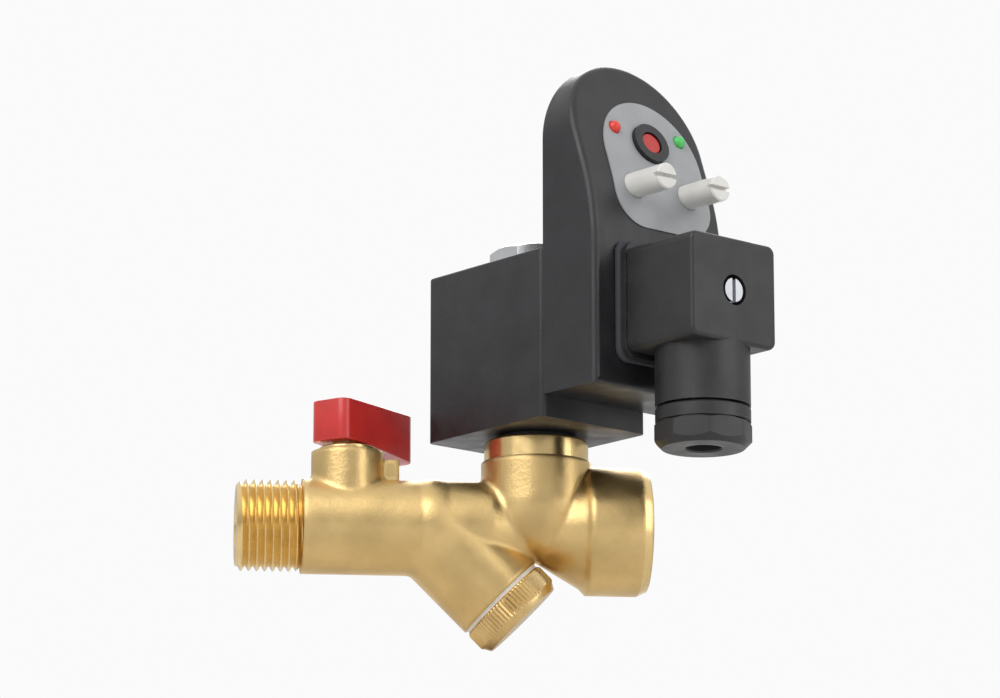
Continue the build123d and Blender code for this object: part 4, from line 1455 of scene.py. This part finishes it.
@dataclass
class CablePlug:
    """The square cable plug with its gland and fixing screw."""

    gland_depth: float = 31.15
    offset: float = 4.5
    nut_floor: float = 11.6
    nut_top: float = 20.6
    nut_sides: int = 8
    nut_flats: float = 20.6
    nut_corner: float = 11.0
    nut_turn: float = 10.0
    low_chamfer: float = 1.0
    high_chamfer: float = 0.05
    ring_radius: float = 10.7
    ring_height: float = 3.2
    wall: float = 2.0
    thread_radius: float = 8.8
    cable_radius: float = 4.0
    ring_edge: float = 0.35
    gasket_edge: float = 0.4

    def gland_nut(self) -> None:
        """Builds the eight-sided gland nut with its plain ring."""
        middle = beside_coil(COIL_HALF_DEPTH + self.gland_depth, self.offset, self.nut_floor)
        side = Matrix.Rotation(math.radians(self.nut_turn), 3, "Z") @ Vector(TERMINAL_WAY)
        top, edge, half = self.nut_top - self.nut_floor, self.ring_edge, self.nut_flats / 2
        length, low, high = top - self.ring_height, half - self.low_chamfer, half - self.high_chamfer
        flats = NutFlats("gland_nut_rule", self.nut_sides, self.nut_flats, length, self.nut_corner, low, high, 1.0)
        liner = turned(((length, high), (length, self.ring_radius),
                        (top - edge, self.ring_radius), (top, self.ring_radius - edge),
                        (top, self.thread_radius), (self.wall, self.thread_radius),
                        (self.wall, self.cable_radius), (edge, self.cable_radius),
                        (0.0, self.cable_radius + edge), (0.0, low)), flats.around)
        shape = joined((flats.mesh(Finishes.plug), liner), looking(middle, UP, side))
        add_piece("cable_gland_nut", shape, Finishes.plug, "valve", ("gland_nut",), 20.0)

    def build(self) -> None:
        """Builds and dresses the plug."""
        self.gland_nut()
        dress(Finishes.rubber, "plug_screw_seal", "gland_grommet")
        add_softened("soft_plug_gasket", "plug_gasket", Finishes.rubber, self.gasket_edge)
        dress(Finishes.plug, "plug_shell")
        dress(Finishes.block, "terminal_block")
        dress(Finishes.screw, "plug_screw")
        dress(Finishes.nut, "gland_washer")


# ---------------------------------------------------------------- floor, light and camera
@dataclass
class Studio:
    """Pale floor, soft light and the camera."""

    azimuth: float = -6.1
    elevation: float = -13.25
    distance: float = 1.0
    lens: float = 158.0
    floor_radius: float = 3.0
    floor_gap: float = 0.0004
    background: Colour = (0.96, 0.96, 0.965)

    def floor(self, height: float) -> None:
        """Builds the pale floor under the valve.

        The floor has a face on its upper side alone, so nothing below it is hidden from a low camera.

        Args:
            height: Its height, in metres.
        """
        shape = bmesh.new()
        bmesh.ops.create_circle(shape, cap_ends=True, cap_tris=False, segments=96, radius=self.floor_radius)
        for corner in shape.verts:
            corner.co.z = height
        mesh = to_mesh(shape, "floor")
        material = bpy.data.materials.new("pale_floor")
        graph = Graph.fresh(material)
        place = graph.place((1.0, 1.0, 0.0))
        far = graph.maths("LENGTH", place, vector=True).ramp(0.2, 1.1)
        tone = graph.mix(graph.noise(place, 40.0, 3.0), (0.80, 0.80, 0.795), (0.83, 0.83, 0.825))
        matt = graph.result("ShaderNodeBsdfPrincipled", {"Base Color": tone, "Roughness": 0.75})
        glow = graph.result("ShaderNodeEmission", {"Color": self.background, "Strength": 1.0})
        seen = graph.result("ShaderNodeLightPath", key="Is Camera Ray") * far
        front = graph.result("ShaderNodeMixShader", {0: seen, 1: matt, 2: glow})
        clear = graph.result("ShaderNodeBsdfTransparent")
        under = graph.result("ShaderNodeNewGeometry", key="Backfacing")
        both = graph.result("ShaderNodeMixShader", {0: under, 1: front, 2: clear})
        graph.node("ShaderNodeOutputMaterial", {"Surface": both})
        mesh.materials.append(material)
        in_scene("floor", mesh)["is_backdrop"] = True

    def world(self) -> None:
        """Soft surrounding light, and a pale background behind the valve."""
        world = bpy.data.worlds.new("studio")
        graph = Graph.fresh(world)
        height = graph.split(graph.result("ShaderNodeTexCoord", key="Generated"))[2]
        room = graph.mix(height.ramp(-0.4, 0.9), (0.22, 0.22, 0.23), (0.62, 0.62, 0.63))
        path = graph.node("ShaderNodeLightPath")
        camera, glossy = graph.out(path, "Is Camera Ray"), graph.out(path, "Is Glossy Ray")
        passing = graph.out(path, "Is Transmission Ray")
        sheen = graph.mix(height.ramp(-0.2, 0.7), (0.34, 0.34, 0.35), (0.95, 0.95, 0.95))
        shown = graph.mix(glossy.most(passing), room, sheen)
        colour = graph.mix(camera, shown, self.background)
        back = graph.result("ShaderNodeBackground", {"Color": colour, "Strength": 1.0})
        graph.node("ShaderNodeOutputWorld", {"Surface": back})
        bpy.context.scene.world = world

    def lamp(self, name: str, at: Triple, target: Vector, size: float, power: float) -> None:
        """Adds a soft area light.

        Args:
            name: Its name.
            at: Where it stands, in metres.
            target: What it faces.
            size: Side of its square, in metres.
            power: Its power, in watts.
        """
        light = bpy.data.lights.new(name, "AREA")
        light.shape = "SQUARE"
        light.size = size
        light.energy = power
        stand = in_scene(name, light)
        stand.location = at
        stand.rotation_euler = (target - Vector(at)).to_track_quat("-Z", "Y").to_euler()

    def camera(self, target: Vector) -> None:
        """Adds the camera.

        Args:
            target: What it faces.
        """
        turn, rise = math.radians(self.azimuth), math.radians(self.elevation)
        way = Vector((math.sin(turn) * math.cos(rise), -math.cos(turn) * math.cos(rise), math.sin(rise)))
        data = bpy.data.cameras.new("camera")
        data.lens = self.lens
        data.clip_start = 0.01
        camera = in_scene("camera", data)
        camera.location = target + way * self.distance
        camera.rotation_euler = (-way).to_track_quat("-Z", "Y").to_euler()
        bpy.context.scene.camera = camera

    def build(self, low: Vector, high: Vector) -> None:
        """Sets up the studio round the valve.

        Args:
            low: Lowest corner of the valve's box.
            high: Highest corner.
        """
        middle = (low + high) / 2
        self.camera(middle)
        self.floor(low.z - self.floor_gap)
        self.world()
        self.lamp("key", (-0.55, -0.75, 0.75), middle, 0.95, 7.5)
        self.lamp("fill", (0.85, -0.55, 0.30), middle, 0.80, 3.0)
        self.lamp("rim", (0.25, 0.85, 0.60), middle, 0.60, 4.0)
        bpy.context.scene.view_settings.view_transform = "Standard"


def main() -> None:
    logging.basicConfig(level=logging.INFO, format="%(name)s %(message)s")
    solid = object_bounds()
    Studio().build(Vector(solid[0]), Vector(solid[1]))
    for assembly in (BrassBody(), BallValve(), Strainer(), Solenoid(), Coil(), Timer(), CablePlug()):
        assembly.build()
        log.info("%s dressed", type(assembly).__name__)


if __name__ == "__main__":
    main()
